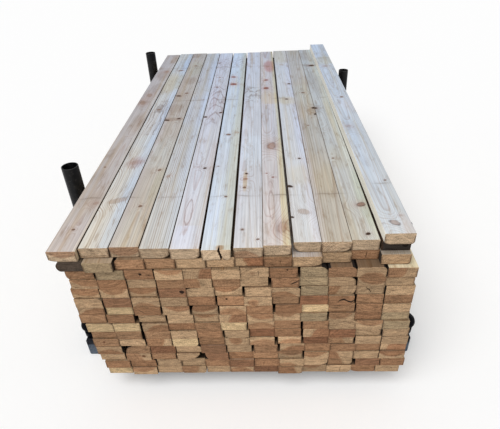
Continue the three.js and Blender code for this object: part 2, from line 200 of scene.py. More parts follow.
# A knot's rim and halo, its darkness and redness, and how solid its eye is.
KNOT_KINDS = {
    "brown": (0.50, 0.35, 0.55, 0.25, 0.85), "dark": (0.80, 0.60, 0.95, 0.10, 1.00),
    "hole": (0.60, 0.20, 1.00, 0.00, 1.00), "red": (0.35, 0.50, 0.25, 1.00, 0.85),
    "amber": (0.15, 0.40, 0.05, 0.55, 0.50), "tan": (0.12, 0.12, 0.00, 0.05, 0.42),
    "stain": (0.08, 0.40, 0.30, 0.35, 0.25), "pink": (0.10, 0.35, 0.20, 0.50, 0.22),
    "blush": (0.25, 0.60, 0.05, 0.45, 0.20), "target": (0.35, 0.50, 0.15, 0.30, 0.45),
    "cloud": (0.10, 0.60, 0.34, 0.12, 0.42), "ring": (0.60, 0.10, 0.12, 0.30, 0.50),
    "red_ring": (0.80, 0.50, 0.35, 0.80, 0.60), "swirl": (0.04, 0.10, 0.10, 0.20, 0.03),
}

# Broad stains on the upper faces of boards: distance along the board in metres, across it in
# millimetres, half length in metres, half width in millimetres, tint, strength.
STAINS = {
    1: [(0.06, 50, 0.12, 70, "white", 0.9), (0.28, 66, 0.10, 24, "brown", 0.7),
        (0.60, 34, 0.20, 26, "brown", 0.3), (0.95, 62, 0.16, 30, "brown", 0.7),
        (1.24, 34, 0.08, 36, "red", 0.4), (1.45, 58, 0.08, 32, "umber", 0.7),
        (1.68, 52, 0.12, 60, "umber", 0.9), (2.03, 72, 0.12, 32, "brown", 1.0)],
    2: [(0.28, 84, 0.20, 34, "blue", 0.7), (0.54, 52, 0.06, 34, "purple", 0.9),
        (0.74, 60, 0.08, 50, "blue", 0.5), (1.00, 46, 0.30, 60, "wavy", 1.0),
        (1.50, 56, 0.20, 90, "tan", 1.0), (1.86, 70, 0.14, 100, "blue", 1.0)],
    3: [(0.08, 50, 0.14, 70, "clear", 0.6), (0.36, 80, 0.16, 26, "green", 0.7),
        (0.61, 50, 0.16, 70, "clear", 1.0), (0.97, 40, 0.025, 66, "umber", 1.0),
        (1.10, 30, 0.07, 44, "umber", 0.8), (1.28, 44, 0.09, 60, "brown", 0.35),
        (1.54, 50, 0.08, 44, "umber", 0.8), (1.80, 50, 0.18, 70, "green", 0.6),
        (2.08, 24, 0.06, 36, "umber", 0.9)],
    4: [(0.29, 66, 0.04, 80, "white", 0.7), (0.60, 60, 0.26, 60, "haze", 0.5),
        (1.12, 50, 0.28, 90, "haze", 1.0), (1.65, 50, 0.30, 90, "haze", 1.0)],
    5: [(0.06, 44, 0.10, 70, "haze", 0.8), (0.19, 34, 0.13, 20, "leaf", 0.9),
        (0.55, 80, 0.20, 24, "pink", 0.6), (1.20, 50, 0.32, 54, "flame", 0.9),
        (1.90, 50, 0.16, 54, "flame", 0.7)],
    6: [(0.01, 54, 0.018, 15, "rust", 1.0), (0.16, 50, 0.20, 60, "haze", 0.8),
        (0.55, 20, 0.15, 30, "pink", 0.4), (1.55, 26, 0.14, 20, "pink", 0.8),
        (1.92, 50, 0.14, 54, "flame", 0.8)],
    7: [(0.39, 25, 0.09, 9, "orange", 0.9), (0.64, 50, 0.16, 70, "clear", 0.7),
        (1.31, 46, 0.16, 56, "zigzag", 1.0), (1.85, 40, 0.16, 60, "white", 0.5)],
    8: [(0.22, 30, 0.16, 16, "leaf", 0.9), (0.66, 50, 0.04, 40, "purple", 0.4),
        (0.94, 60, 0.30, 70, "blue", 0.8), (1.22, 50, 0.12, 70, "tan", 0.9),
        (1.78, 52, 0.15, 34, "patch", 1.0), (2.04, 50, 0.10, 80, "grey", 0.7)],
    9: [(0.41, 46, 0.10, 60, "tan", 0.6), (0.75, 70, 0.25, 30, "blue", 0.6),
        (1.17, 50, 0.06, 70, "tan", 1.0), (2.02, 60, 0.22, 100, "tan", 1.0)],
    10: [(0.36, 60, 0.14, 60, "tan", 0.6), (0.76, 50, 0.22, 80, "blue", 0.9),
        (1.02, 76, 0.05, 34, "brown", 0.8), (1.27, 50, 0.16, 90, "clear", 0.8),
        (1.70, 50, 0.30, 90, "haze", 0.8)],
    11: [(0.25, 78, 0.20, 26, "green", 0.7), (0.52, 30, 0.12, 30, "tan", 0.5),
        (1.05, 14, 0.10, 20, "dark", 0.8), (1.45, 50, 0.20, 70, "umber", 0.5),
        (1.76, 36, 0.025, 50, "dark", 0.9), (1.98, 50, 0.16, 90, "umber", 0.7)],
    0: [(0.02, 74, 0.09, 24, "pink", 0.9), (0.60, 24, 0.30, 16, "blue", 0.6),
        (1.00, 60, 0.10, 50, "pink", 0.6), (1.74, 58, 0.10, 80, "tan", 0.9)],
}
NO_STAINS = [(0.0, 0, 1.0, 1, "none", 0.0)]      # for the boards below
# What each stain multiplies the wood's colour by.
TINTS = {
    "none": (1.0, 1.0, 1.0), "brown": (0.84, 0.75, 0.66), "purple": (0.86, 0.78, 0.80),
    "tan": (0.97, 0.90, 0.76), "blue": (0.93, 0.98, 1.05), "white": (1.07, 1.07, 1.10),
    "grey": (0.86, 0.86, 0.88), "dark": (0.74, 0.73, 0.74), "patch": (0.84, 0.57, 0.54),
    "orange": (0.96, 0.80, 0.58), "pink": (1.0, 0.92, 0.90), "red": (0.86, 0.70, 0.62),
    "green": (0.95, 0.99, 0.90), "rust": (0.70, 0.52, 0.40), "umber": (0.80, 0.74, 0.70),
    "haze": (1.02, 1.05, 1.13), "clear": (1.09, 1.16, 1.20), "leaf": (0.99, 0.96, 0.95),
    "wavy": (0.95, 0.94, 0.96), "flame": (0.98, 0.96, 0.97), "zigzag": (0.97, 0.98, 0.96),
}
# Tints drawn with growth rings that lie wide apart: how many rings cross the stain's half
# length, how many its half width, and how many close round its middle.
FIGURES = {
    "leaf": (0.0, 1.7, 1.7), "wavy": (0.6, 4.2, 0.0), "flame": (3.4, 1.9, 0.3),
    "zigzag": (2.2, 0.6, 0.0),
}

# Marks in sawn ends, by (layer, board): across and up from the middle of the end in
# millimetres, radius, kind.
END_KNOTS = {
    (3, 3): (4, 2, 5, "dark"), (6, 6): (-13, 9, 4, "dark"), (3, 8): (11, 12, 3, "dark"),
    (5, 4): (30, 4, 8, "dark"), (11, 1): (-8, 4, 5, "brown"), (13, 2): (18, 4, 7, "brown"),
    (1, 12): (26, 2, 10, "hole"), (3, 7): (-6, -4, 9, "stain"),
}
# Checks in sawn ends: where the crack is across the end, how it leans (degrees) and how open.
END_CHECKS = {
    (2, 11): (4, 4, 1.0), (3, 7): (12, -6, 0.7), (6, 10): (17, 86, 3.8), (15, 10): (6, 2, 0.9),
    (4, 8): (28, 62, 2.2), (7, 3): (-20, -48, 0.9), (5, 11): (-4, -38, 1.4),
    (9, 8): (30, 84, 1.2), (7, 11): (20, 86, 1.0),
}
# Joints between two boards of a layer that gape more or less than in the frame: the board on
# their left, and by how much, in millimetres.
OPEN_JOINTS = {
    1: {2: -2, 3: -1, 6: 3, 8: 7, 11: 5},
    2: {2: -5, 3: -2, 4: -4.5},
    3: {1: 2, 7: 1.5, 8: 4},
    4: {1: 1.5, 2: -2.5, 3: 2, 5: 1, 7: 5, 10: 3},
    5: {2: -4.2, 3: 1.5, 6: 3, 8: 1, 9: 1.5},
    6: {2: -2, 3: 1, 4: -1.2, 5: 2, 8: 1.2, 10: 8},
    7: {5: 5.5, 7: 7.5, 10: 3.5, 11: 1.5},
    8: {2: -4, 3: 1.5, 6: -1.2, 9: 5.5},
    9: {1: -1.8, 2: -2.5, 6: 2.2, 8: 1.5},
    10: {5: 4, 6: 1, 8: 2.2, 11: 2.5},
    11: {1: -2.2, 2: 1, 3: 1.2, 4: 1, 7: 8.5, 8: 7, 10: 5},
    12: {2: 1, 3: 1.6, 5: 1.5, 6: 6.5, 7: 7.5, 9: -1.2, 11: 2.5},
    13: {1: 2.2, 3: 5, 4: 8, 5: 1.6, 8: 6, 11: 1.6},
    14: {1: -2.7, 2: -5, 9: 1.8, 10: 4.5, 11: 2},
    15: {1: 2.6, 2: -2.5, 11: 1.5},
}
# Boards that lie hollow on the layer below: how much air shows under them, in millimetres.
UNDER_GAPS = {
    1: {2: 2, 3: 0.5, 4: 1, 9: 1, 10: 0.5}, 2: {7: 1, 8: 1.5, 9: 0.7, 10: 2, 11: 1, 12: 1.5},
    3: {2: 1, 3: 1.2, 7: 1, 8: 0.8, 11: 0.8}, 4: {3: 0.4, 5: 0.7, 11: 0.5}, 5: {5: 0.5},
    9: {4: 0.7, 8: 0.5}, 10: {6: 0.8}, 13: {12: 1.2},
}
# Corners lost to wane or knocks that the frame leaves square, by (layer, board): how far the
# cut reaches across and down from the corner, in millimetres.
CORNERS = {
    (0, 1): {"bl": (20, 9), "br": (8, 10)}, (1, 3): {"br": (6, 7)}, (1, 4): {"br": (28, 17)},
    (1, 5): {"br": (22, 16)}, (1, 6): {"br": (10, 13)}, (1, 7): {"br": (17, 10)},
    (1, 8): {"bl": (8, 8), "br": (14, 8)}, (1, 10): {"br": (26, 18)}, (2, 3): {"tl": (9, 14)},
    (3, 1): {"bl": (10, 16)}, (3, 3): {"bl": (8, 7)}, (3, 10): {"tl": (7, 6), "tr": (14, 14)},
    (4, 3): {"tl": (8, 7)}, (4, 10): {"tr": (26, 19)}, (5, 5): {"tl": (32, 8)},
    (5, 10): {"br": (14, 20)}, (6, 1): {"tr": (22, 11)}, (6, 10): {"br": (12, 14)},
    (7, 5): {"tl": (8, 26)}, (8, 9): {"br": (15, 8)}, (9, 1): {"tr": (20, 8)},
    (10, 6): {"bl": (22, 13), "br": (30, 8)}, (11, 2): {"tr": (25, 9)},
    (11, 4): {"br": (15, 13)}, (11, 12): {"tl": (27, 8)}, (12, 2): {"tl": (26, 25)},
    (12, 4): {"tr": (24, 14)}, (13, 4): {"tr": (4, 4), "br": (54, 35)},
    (13, 5): {"tl": (4, 4), "bl": (18, 34)}, (13, 10): {"tr": (10, 7)}, (14, 2): {"tr": (8, 12)},
    (14, 9): {"br": (30, 15)}, (14, 10): {"tr": (15, 12)},
    (15, 4): {"bl": (8, 10), "br": (10, 14)}, (15, 10): {"br": (12, 14)},
    (15, 11): {"bl": (26, 11)},
}
# Ends that are lighter or darker than their wood would make them.
END_LIGHT = {
    1.35: ((2, 6), (2, 7), (2, 11), (3, 4), (5, 7), (6, 9), (8, 7), (9, 7), (11, 7), (11, 8),
           (12, 12), (13, 7)),
    1.18: ((1, 2), (1, 6), (2, 4), (3, 6), (4, 9), (5, 6), (6, 6), (8, 4), (9, 4), (11, 4),
           (13, 1), (13, 2), (13, 10), (14, 9), (15, 2), (15, 3)),
    0.8: ((1, 9), (2, 8), (3, 1), (3, 10), (5, 11), (6, 12), (7, 5), (8, 10), (9, 1), (9, 2),
          (9, 3), (9, 10), (11, 5), (12, 1), (12, 2), (12, 6), (13, 8), (15, 8)),
    0.67: ((15, 9),),
}
# Ends whose rings stand out, by (layer, board), and how strongly.
END_RINGS = {(1, 10): 2.2, (2, 12): 1.4, (3, 1): 1.4, (4, 2): 1.2, (13, 7): 1.5, (7, 3): 1.3}


# ---- What the frame says about each board --------------------------------------------------

def read(collection, name, width=1, kind=np.float32):
    """One property of every item of a mesh collection as an array."""
    flat = np.empty(len(collection) * width, kind)
    collection.foreach_get(name, flat)
    return flat.reshape(-1, width) if width > 1 else flat


def node_triangles(name):
    """Corner positions of a CAD node's triangles, shape (triangles, 3, 3)."""
    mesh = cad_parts[name].data
    mesh.calc_loop_triangles()
    corners = read(mesh.loop_triangles, "vertices", 3, np.int32)
    return read(mesh.vertices, "co", 3)[corners].astype(float)


def turned(points, angle):
    """Points turned about the Z axis: x cos - y sin, x sin + y cos."""
    c, s = math.cos(angle), math.sin(angle)
    return points @ np.array([[c, s, 0], [-s, c, 0], [0, 0, 1]])


def node_yaw(name):
    """How far a single board is turned: the direction from its front end to its far end."""
    points = node_triangles(name).reshape(-1, 3)
    is_far = points[:, 1] > points[:, 1].mean()
    far, near = points[is_far], points[~is_far]
    run = far.min(0) + far.max(0) - near.min(0) - near.max(0)
    return -math.atan2(run[0], run[1])


def read_boards(name, layer, first=1, yaw=0.0):
    """Each board's place, size and corner cuts, read off the front faces of a CAD node.

    The triangles that face the front are told apart by the gaps between them in X. The boards
    are numbered from the first.
    """
    corners = turned(node_triangles(name), -yaw)
    normal = np.cross(corners[:, 1] - corners[:, 0], corners[:, 2] - corners[:, 0])
    normal /= np.linalg.norm(normal, axis=1, keepdims=True) + 1e-12
    depth = corners[:, :, 1].mean(1)
    front = corners[(normal[:, 1] < -0.99) & (depth < corners[:, :, 1].min() + FRONT_REACH)]
    front = front[np.argsort(front[:, :, 0].min(1))]
    reach = np.maximum.accumulate(front[:, :, 0].max(1))
    starts = np.flatnonzero(front[1:, :, 0].min(1) > reach[:-1] + NEAR_GAP) + 1
    boards = []
    for number, group in enumerate(np.split(front, starts), first):
        x, y, z = group.reshape(-1, 3).T
        left, right, floor, top = x.min(), x.max(), z.min(), z.max()
        on_left, on_right = z[x < left + ON_EDGE], z[x > right - ON_EDGE]
        on_floor, on_top = x[z < floor + ON_EDGE], x[z > top - ON_EDGE]
        boards.append({
            "spot": (layer, number),
            "left": left,
            "floor": floor,
            "front": y.mean(),
            "width": right - left,
            "thick": top - floor,
            "yaw": yaw,
            "bare": (0, 0),
            "cuts": {
                "bl": (on_floor.min() - left, on_left.min() - floor),
                "br": (right - on_floor.max(), on_right.min() - floor),
                "tr": (right - on_top.max(), top - on_right.max()),
                "tl": (on_top.min() - left, top - on_left.max()),
            },
        })
    return boards


def settle(board):
    """Cuts a board's corners, fills it out if it is a lower one, lifts it and narrows it.

    It lies as much higher as air shows under it, and gives up half of each joint beside it.
    """
    layer, number = board["spot"]
    for corner, (across, down) in CORNERS.get(board["spot"], {}).items():
        board["cuts"][corner] = (across * MM, down * MM)
    if layer > 2:
        board["thick"] = max(board["thick"], FULL_THICK)
    under = UNDER_GAPS.get(layer, {}).get(number, 0) * MM
    board["floor"] += under
    board["thick"] -= under
    joints = OPEN_JOINTS.get(layer, {})
    left, right = (joints.get(joint, 0) / 2 * MM for joint in (number - 1, number))
    board["left"] += left
    board["width"] -= left + right


board_low, board_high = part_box("board_01")
LENGTH = board_high.y - board_low.y


# ---- Each board's wood ---------------------------------------------------------------------

def listed(table, board):
    """What a table says of an upper board, the loose one under 0; nothing further down."""
    layer, number = board["spot"]
    if layer > 1:
        return None
    return table.get(number if layer else 0)


def knots_of(board, rng):
    """The board's knots in order along it, a row each: place, axis, radius and looks.

    A knot grows from the log's middle. Its axis leans along the board, more so if it was cut
    lengthwise.
    """
    found = []
    for along, across, radius, kind in listed(KNOTS, board) or ():
        found.append((along, across * MM, board["thick"], radius * MM, kind))
    if not found:
        for along in np.arange(rng.uniform(0.1, 0.5), LENGTH, KNOT_EVERY):
            across, up = rng.uniform(0.1, 0.9) * board["width"], rng.choice([0, 1]) * board["thick"]
            kind = rng.choice(["brown", "brown", "dark", "tan", "pink"])
            found.append((along + rng.uniform(-0.1, 0.1), across, up, rng.uniform(4, 11) * MM, kind))
    rows = []
    for along, across, up, radius, kind in sorted(found, key=lambda knot: knot[0]):
        axis = np.array([across - board["pith"][0], 0.0, up - board["pith"][1]])
        axis /= np.linalg.norm(axis)
        axis[2] *= 0.7 if kind == "tan" else 1.0
        axis[1] = 1.5 if kind in ("blush", "target", "cloud") else 0.3
        if kind == "ring":
            axis = np.array([0.7, -0.6, 0.8])
        rows.append((across, along, up, *axis / np.linalg.norm(axis), radius, *KNOT_KINDS[kind]))
    return np.array(rows)


def grow(board):
    """Gives a board its wood: where the log's middle lies, ring width, heart, tones, knots.

    The end's letter says how the wood lies. Lengths are drawn in millimetres.
    """
    layer, number = board["spot"]
    rng = np.random.default_rng(100 * layer + number)
    letter = ENDS[layer - 1][number - 1] if layer else "s"
    near, far = rng.uniform(42, 76), rng.uniform(55, 110)
    side = rng.choice([-1, 1])
    slant = rng.uniform(-1, 1)
    edge = rng.uniform(-3, 12)
    pith, heart = {
        "t": ((20 * slant, near), near + edge),
        "b": ((20 * slant, -near), near + edge),
        "l": ((-near - 16, 26 * side), near + 16 + 2 * edge),
        "R": ((near + 16, 26 * side), near + 16 + 2 * edge),
        "m": ((16 * slant, 5 * side), 15 + edge),
        "h": ((40 * slant, side * near), WHOLE),
        "r": ((40 * slant, side * near), WHOLE),
    }.get(letter, ((60 * slant, side * far), 0))
    ring = rng.uniform(2.2, 4.2)
    tone, side_tone, turn, *log = UPPER_BOARDS[number if layer else 0]
    edge_tone = "sand" if layer else "pale_yellow"
    if layer > 1:
        # Below the top layer, unlisted boards take a dark tone: painted shade.
        tone = side_tone = SHOWN_BOARDS.get(board["spot"], str(rng.choice(INNER_TONES)))
        edge_tone = tone if number not in (1, 12) else str(rng.choice(OUTER_TONES))
    contrast = rng.uniform(0.45, 0.9)
    taper, lines_red = rng.choice([-0.017, 0.017]), 0.2
    if layer < 2:
        pith, ring, contrast, taper, lines_red = log
    # How strongly painted shade darkens the lower border of the end: strong in the top two layers.
    border = 0.9 if layer < 3 else rng.uniform(0, 0.9) ** 1.5
    board.update({
        "contrast": contrast,
        "trend": (taper, border, lines_red),
        "eased": EASED * (rng.uniform(0.3, 1.1, 4) if layer > 1 else np.ones(4)),
        "pith": (board["width"] / 2 + pith[0] * MM, board["thick"] / 2 + pith[1] * MM),
        "start": rng.uniform(0, 40),
        "ring": ring * MM,
        "heart": heart * MM,
        "red": 1.0 if letter in "rR" else rng.uniform(0.0, 0.4),
        "depth": rng.uniform(0.75, 1.15) if letter in "hr" else rng.uniform(0.8, 1.15),
        "face": linear(FACE_TONES[tone]),
        "edge": linear(FACE_TONES[edge_tone]),
        "side_face": linear(FACE_TONES[side_tone]),
        "side_turn": turn * MM,
        "end": linear(END_TONES.get(letter, END_TONES["s"])) * rng.uniform(0.84, 1.14),
        "stickers": 1.0 if layer < 2 and letter != "d" else 0.0,
        "hidden": (number > 1, number < 12) if layer else (False, False),
    })
    if layer < 2:
        board["end"] = board["end"] * UPPER_ENDS
    for light, places in END_LIGHT.items():
        if board["spot"] in places:
            board["end"] = board["end"] * light
    board["knots"] = knots_of(board, rng)
    board["check"] = END_CHECKS.get(board["spot"])
    if board["check"] is None:
        opening = max(0.0, rng.uniform(-2.6, 0.6))
        lean = math.degrees(math.atan2(pith[0], pith[1] + 1e-6)) + rng.uniform(-8, 8)
        board["check"] = (rng.uniform(-25, 25), lean, opening)


# ---- Board shapes --------------------------------------------------------------------------

def drift(along, seed):
    """A smooth wander along a board: half the sum of three sines of seeded wave and phase."""
    rng = np.random.default_rng(seed)
    waves = rng.uniform(6, 60, 3)
    phases = rng.uniform(0, 2 * math.pi, 3)
    return np.sin(along[:, None] * waves + phases).sum(1) / 2


def section(board, along):
    """The board's outline at each distance along it, shape (stations, points, 2).

    Every corner is a quadratic curve between its two cuts. A waned corner is pulled towards
    the corner by its bulge and shrinks to an eased edge over the wane's run.
    """
    parts = []
    layer, number = board["spot"]
    fade = np.clip(1 - along / WANE_RUN, 0, 1)
    for place, (corner, order) in enumerate(zip(CORNER_NAMES, (1, -1, 1, -1))):
        across, down = board["cuts"][corner]
        t = np.linspace(0, 1, CORNER_POINTS)[::order]
        if max(across, down) > WANED:
            seed = layer * 400 + number * 10 + place
            ragged = fade * (1 + WANE_RAGGED * drift(along, seed) * np.clip(along / 0.05, 0, 1))
            wide = EASED + (across - EASED) * ragged
            deep = EASED + (down - EASED) * ragged
            bulge = WANE_BULGE * fade
        else:
            wide = deep = np.full_like(along, board["eased"][place])
            bulge = np.zeros_like(along)
        pull = 2 * t * (1 - t) * bulge[:, None]
        u = wide[:, None] * (pull + t ** 2)
        v = deep[:, None] * (pull + (1 - t) ** 2)
        x = board["width"] - u if "r" in corner else u
        z = board["thick"] - v if "t" in corner else v
        parts.append(np.stack([x, z], 2))
    return np.concatenate(parts, 1)


def knot_turns(board):
    """The knots of a board in two turns, with the cuts halfway between each turn's knots."""
    turns = (board["knots"][0::2], board["knots"][1::2])
    return [(knots, (knots[1:, 1] + knots[:-1, 1]) / 2) for knots in turns]


def stains_of(board):
    """The stains of a board in order along it, with the cuts between them.

    Each is a row: place, half its size, strength, tint and figure. A cut parts the way
    between two stains as their half lengths do.
    """
    stains = np.array([
        (across * MM, along, half * MM, reach, strength, *TINTS[tint], *FIGURES.get(tint, (0, 0, 0)))
        for along, across, reach, half, tint, strength in listed(STAINS, board) or NO_STAINS
    ])
    along, reach = stains[:, 1], stains[:, 3]
    cuts = along[:-1] + (along[1:] - along[:-1]) * reach[:-1] / (reach[:-1] + reach[1:])
    return stains, cuts


def ring_faces(count, size, around=False):
    """Quads between neighbouring rings, then the triangles of a fan at each end.

    The fans' hubs are the two points that follow the rings' own. With `around` the last ring
    joins the first, and there are no fans.
    """
    ring, step = np.indices((count if around else count - 1, size))
    following, after = (ring + 1) % count, (step + 1) % size
    quads = np.stack([ring * size + step, following * size + step,
                      following * size + after, ring * size + after], 2).reshape(-1, 4)
    if around:
        return [quads]
    turn = np.arange(size)
    after = (turn + 1) % size
    hub = np.full(size, count * size)
    last = (count - 1) * size
    fans = [np.stack([turn, after, hub], 1), np.stack([last + after, last + turn, hub + 1], 1)]
    return [quads, np.concatenate(fans)]


def with_hubs(rings):
    """The points of all rings, then the middles of the first and the last."""
    return np.concatenate([rings.reshape(-1, 3), rings[[0, -1]].mean(1)])


def to_model(board, local):
    """From the board's own place (across, along, up) to the model's frame."""
    return turned(local + [board["left"], board["front"], board["floor"]], board["yaw"])


def to_board(board, points):
    """From the model's frame to the board's own place."""
    return turned(points, -board["yaw"]) - [board["left"], board["front"], board["floor"]]


def board_mesh(board):
    """Points, quads, fan triangles, and the quads' material slots and smooth flags.

    The outline is carried along the board through its stations. They lie where knots and
    stains part, where a side comes out of hiding, and closer together along a wane.
    """
    stations = [0, ARRIS, LENGTH - ARRIS, LENGTH, *filter(None, board["bare"])]
    for _, cuts in [*knot_turns(board), stains_of(board)]:
        stations.extend(cuts)
    waned = np.array([max(board["cuts"][corner]) > WANED for corner in CORNER_NAMES])
    if waned.any():
        stations.extend(np.linspace(0.012, WANE_RUN, WANE_STATIONS))
    stations = np.unique(np.round(stations, 5))
    outline = section(board, stations)
    for end in (0, -1):
        for k, size in enumerate((board["width"], board["thick"])):
            outline[end, :, k] = np.clip(outline[end, :, k], ARRIS, size - ARRIS)
    count, size = outline.shape[:2]
    along = np.repeat(stations[:, None], size, 1)
    points = with_hubs(np.stack([outline[..., 0], along, outline[..., 1]], 2))
    ring, step = (index.ravel() for index in np.indices((count - 1, size)))
    curved = step % CORNER_POINTS < CORNER_POINTS - 1
    barked = curved & waned[step // CORNER_POINTS] & (stations[ring] < BARK_RUN)
    slots = np.where(barked, BARK, PLANED)
    slots[(ring == 0) | (ring == count - 2)] = SAWN
    return (to_model(board, points), *ring_faces(count, size), slots, curved)


# ---- What a board's mesh tells the shaders -------------------------------------------------

def write(mesh, name, values, domain):
    """Stores an array as a vector attribute of the mesh."""
    layer = mesh.attributes.new(name, "FLOAT_VECTOR", domain)
    layer.data.foreach_set("vector", np.ascontiguousarray(values, np.float32).ravel())


def wood_at(board, local):
    """What points carry, in threes.

    log: place from the log's middle. growth: ring width, contrast, radius of the heartwood.
    heart: its redness, whether laths lay here, its depth. place: how far beyond the line
    where the side tone begins, painted shade in the gaps beside covered sides, which board.
    rim: 0 amid an end and 1 at its rim, height, distance from the nearer end, which sets the
    painted shade behind the ends of inner boards. trend: taper, strength of the painted shade
    line along the lower border of an end, redness of the rings. check: across and along the
    crack, how open. The others are colours.
    """
    layer, number = board["spot"]
    across, along, up = local.T
    whole = np.ones(len(local))
    fall = 1 + (FAR_TONE - 1) * np.clip(local[:, 1:2] / LENGTH, 0, 1) ** 0.5
    strong = END_RINGS.get(board["spot"], board["contrast"])
    contrast = np.where(along < ARRIS / 2, strong, board["contrast"])
    turn = board["side_turn"]
    # Painted shade in the gaps: sides that neighbours cover go dark near their edges.
    grime_and_shade = np.zeros(len(local))
    for k, gap in enumerate((across, board["width"] - across)):
        if board["hidden"][k]:
            covered = along > board["bare"][k] - 1 * MM
            grime_and_shade = np.maximum(grime_and_shade, np.clip(1 - gap / EASED, 0, 1) * covered)
    high = up / board["thick"]
    in_middle = (np.abs(across / board["width"] - 0.5) < 0.3) & (np.abs(high - 0.5) < 0.3)
    # Distance behind the end, which sets the painted shade there; the top layer and outer boards
    # stay lit.
    inside = np.minimum(along, LENGTH - along)
    if board["spot"] in HOLE_FLOORS:
        inside = inside * HOLE_DARKER
    if layer == 1 or not all(board["hidden"]):
        inside = OUTSIDE * whole
    off, lean, opening = board["check"]
    lean = math.radians(lean)
    x, z = across - (board["width"] / 2 + off * MM), up - board["thick"] / 2
    return {
        "log": local - [board["pith"][0], -board["start"], board["pith"][1]],
        "face_tone": board["face"] * fall,
        "side_tone": board["side_face"] * fall,
        "edge_tone": board["edge"],
        "end_tone": board["end"],
        "growth": np.stack([board["ring"] * whole, contrast, board["heart"] * whole], 1),
        "heart": (board["red"], board["stickers"], board["depth"]),
        "place": np.stack([across - turn if turn > 0 else -turn - across, grime_and_shade,
                           (layer + number / 20) * whole], 1),
        "rim": np.stack([np.where(in_middle, 0.0, 1.0), high, inside], 1),
        "trend": board["trend"],
        "check": np.stack([x * math.cos(lean) - z * math.sin(lean),
                           x * math.sin(lean) + z * math.cos(lean), opening * whole], 1),
    }


def marks_at(board, local, middle, on_end):
    """What face corners carry: where they lie from the knots and the stain of their face.

    The face's middle says which these are, so they stay sharp on large faces.
    """
    marks = {}
    for turn, (knots, cuts) in zip("ab", knot_turns(board)):
        rows = knots[np.searchsorted(cuts, middle)]
        from_knot = local - rows[:, :3]
        if turn == "a" and board["spot"] in END_KNOTS:
            across, up, radius, kind = END_KNOTS[board["spot"]]
            centre = [board["width"] / 2 + across * MM, 0, board["thick"] / 2 + up * MM]
            from_knot[on_end] = local[on_end] - centre
            from_knot[on_end, 1] = 0
            rows[on_end, 3:] = (0, 1, 0, radius * MM, *KNOT_KINDS[kind])
        marks["knot_" + turn] = from_knot
        marks["axis_" + turn] = rows[:, 3:6]
        marks["kind_" + turn] = rows[:, 6:9]
        marks["look_" + turn] = rows[:, 9:]
    stains, cuts = stains_of(board)
    rows = stains[np.searchsorted(cuts, middle)]
    marks["stain"] = np.column_stack([(local[:, :2] - rows[:, :2]) / rows[:, 2:4], rows[:, 4]])
    marks["tint"] = rows[:, 5:8]
    marks["figure"] = rows[:, 8:]
    return marks


def dress(mesh, boards, owner):
    """Writes each board's wood into its mesh, worked out from where the points are."""
    at = read(mesh.vertices, "co", 3).astype(float)
    point = read(mesh.loops, "vertex_index", kind=np.int32)
    totals = read(mesh.polygons, "loop_total", kind=np.int32)
    face = np.repeat(np.arange(len(totals)), totals)
    centre = read(mesh.polygons, "center", 3).astype(float)[face]
    on_end = np.abs(read(mesh.polygons, "normal", 3)[face, 1]) > 0.9
    stores = {"POINT": {}, "CORNER": {}}
    for k, board in enumerate(boards):
        mine, corners = owner == k, owner[point] == k
        local, middle = to_board(board, at[point[corners]]), to_board(board, centre[corners])
        found = {
            "POINT": (mine, wood_at(board, to_board(board, at[mine]))),
            "CORNER": (corners, marks_at(board, local, middle[:, 1], on_end[corners])),
        }
        for domain, (where, values) in found.items():
            for name, value in values.items():
                stores[domain].setdefault(name, np.zeros((len(where), 3)))[where] = value
    for domain, store in stores.items():
        for name, values in store.items():
            write(mesh, name, values, domain)


# ---- Shaders: number and node arithmetic ---------------------------------------------------

class Number:
    """A number in a shader. Arithmetic on it adds Math nodes."""

    def __init__(self, net, socket):
        self.net = net
        self.socket = socket

    def __add__(self, other):
        return self.net.math("ADD", self, other)

    def __radd__(self, other):
        return self.net.math("ADD", other, self)

    def __sub__(self, other):
        return self.net.math("SUBTRACT", self, other)

    def __rsub__(self, other):
        return self.net.math("SUBTRACT", other, self)

    def __mul__(self, other):
        return self.net.math("MULTIPLY", self, other)

    def __rmul__(self, other):
        return self.net.math("MULTIPLY", other, self)

    def __truediv__(self, other):
        return self.net.math("DIVIDE", self, other)

    def __rtruediv__(self, other):
        return self.net.math("DIVIDE", other, self)


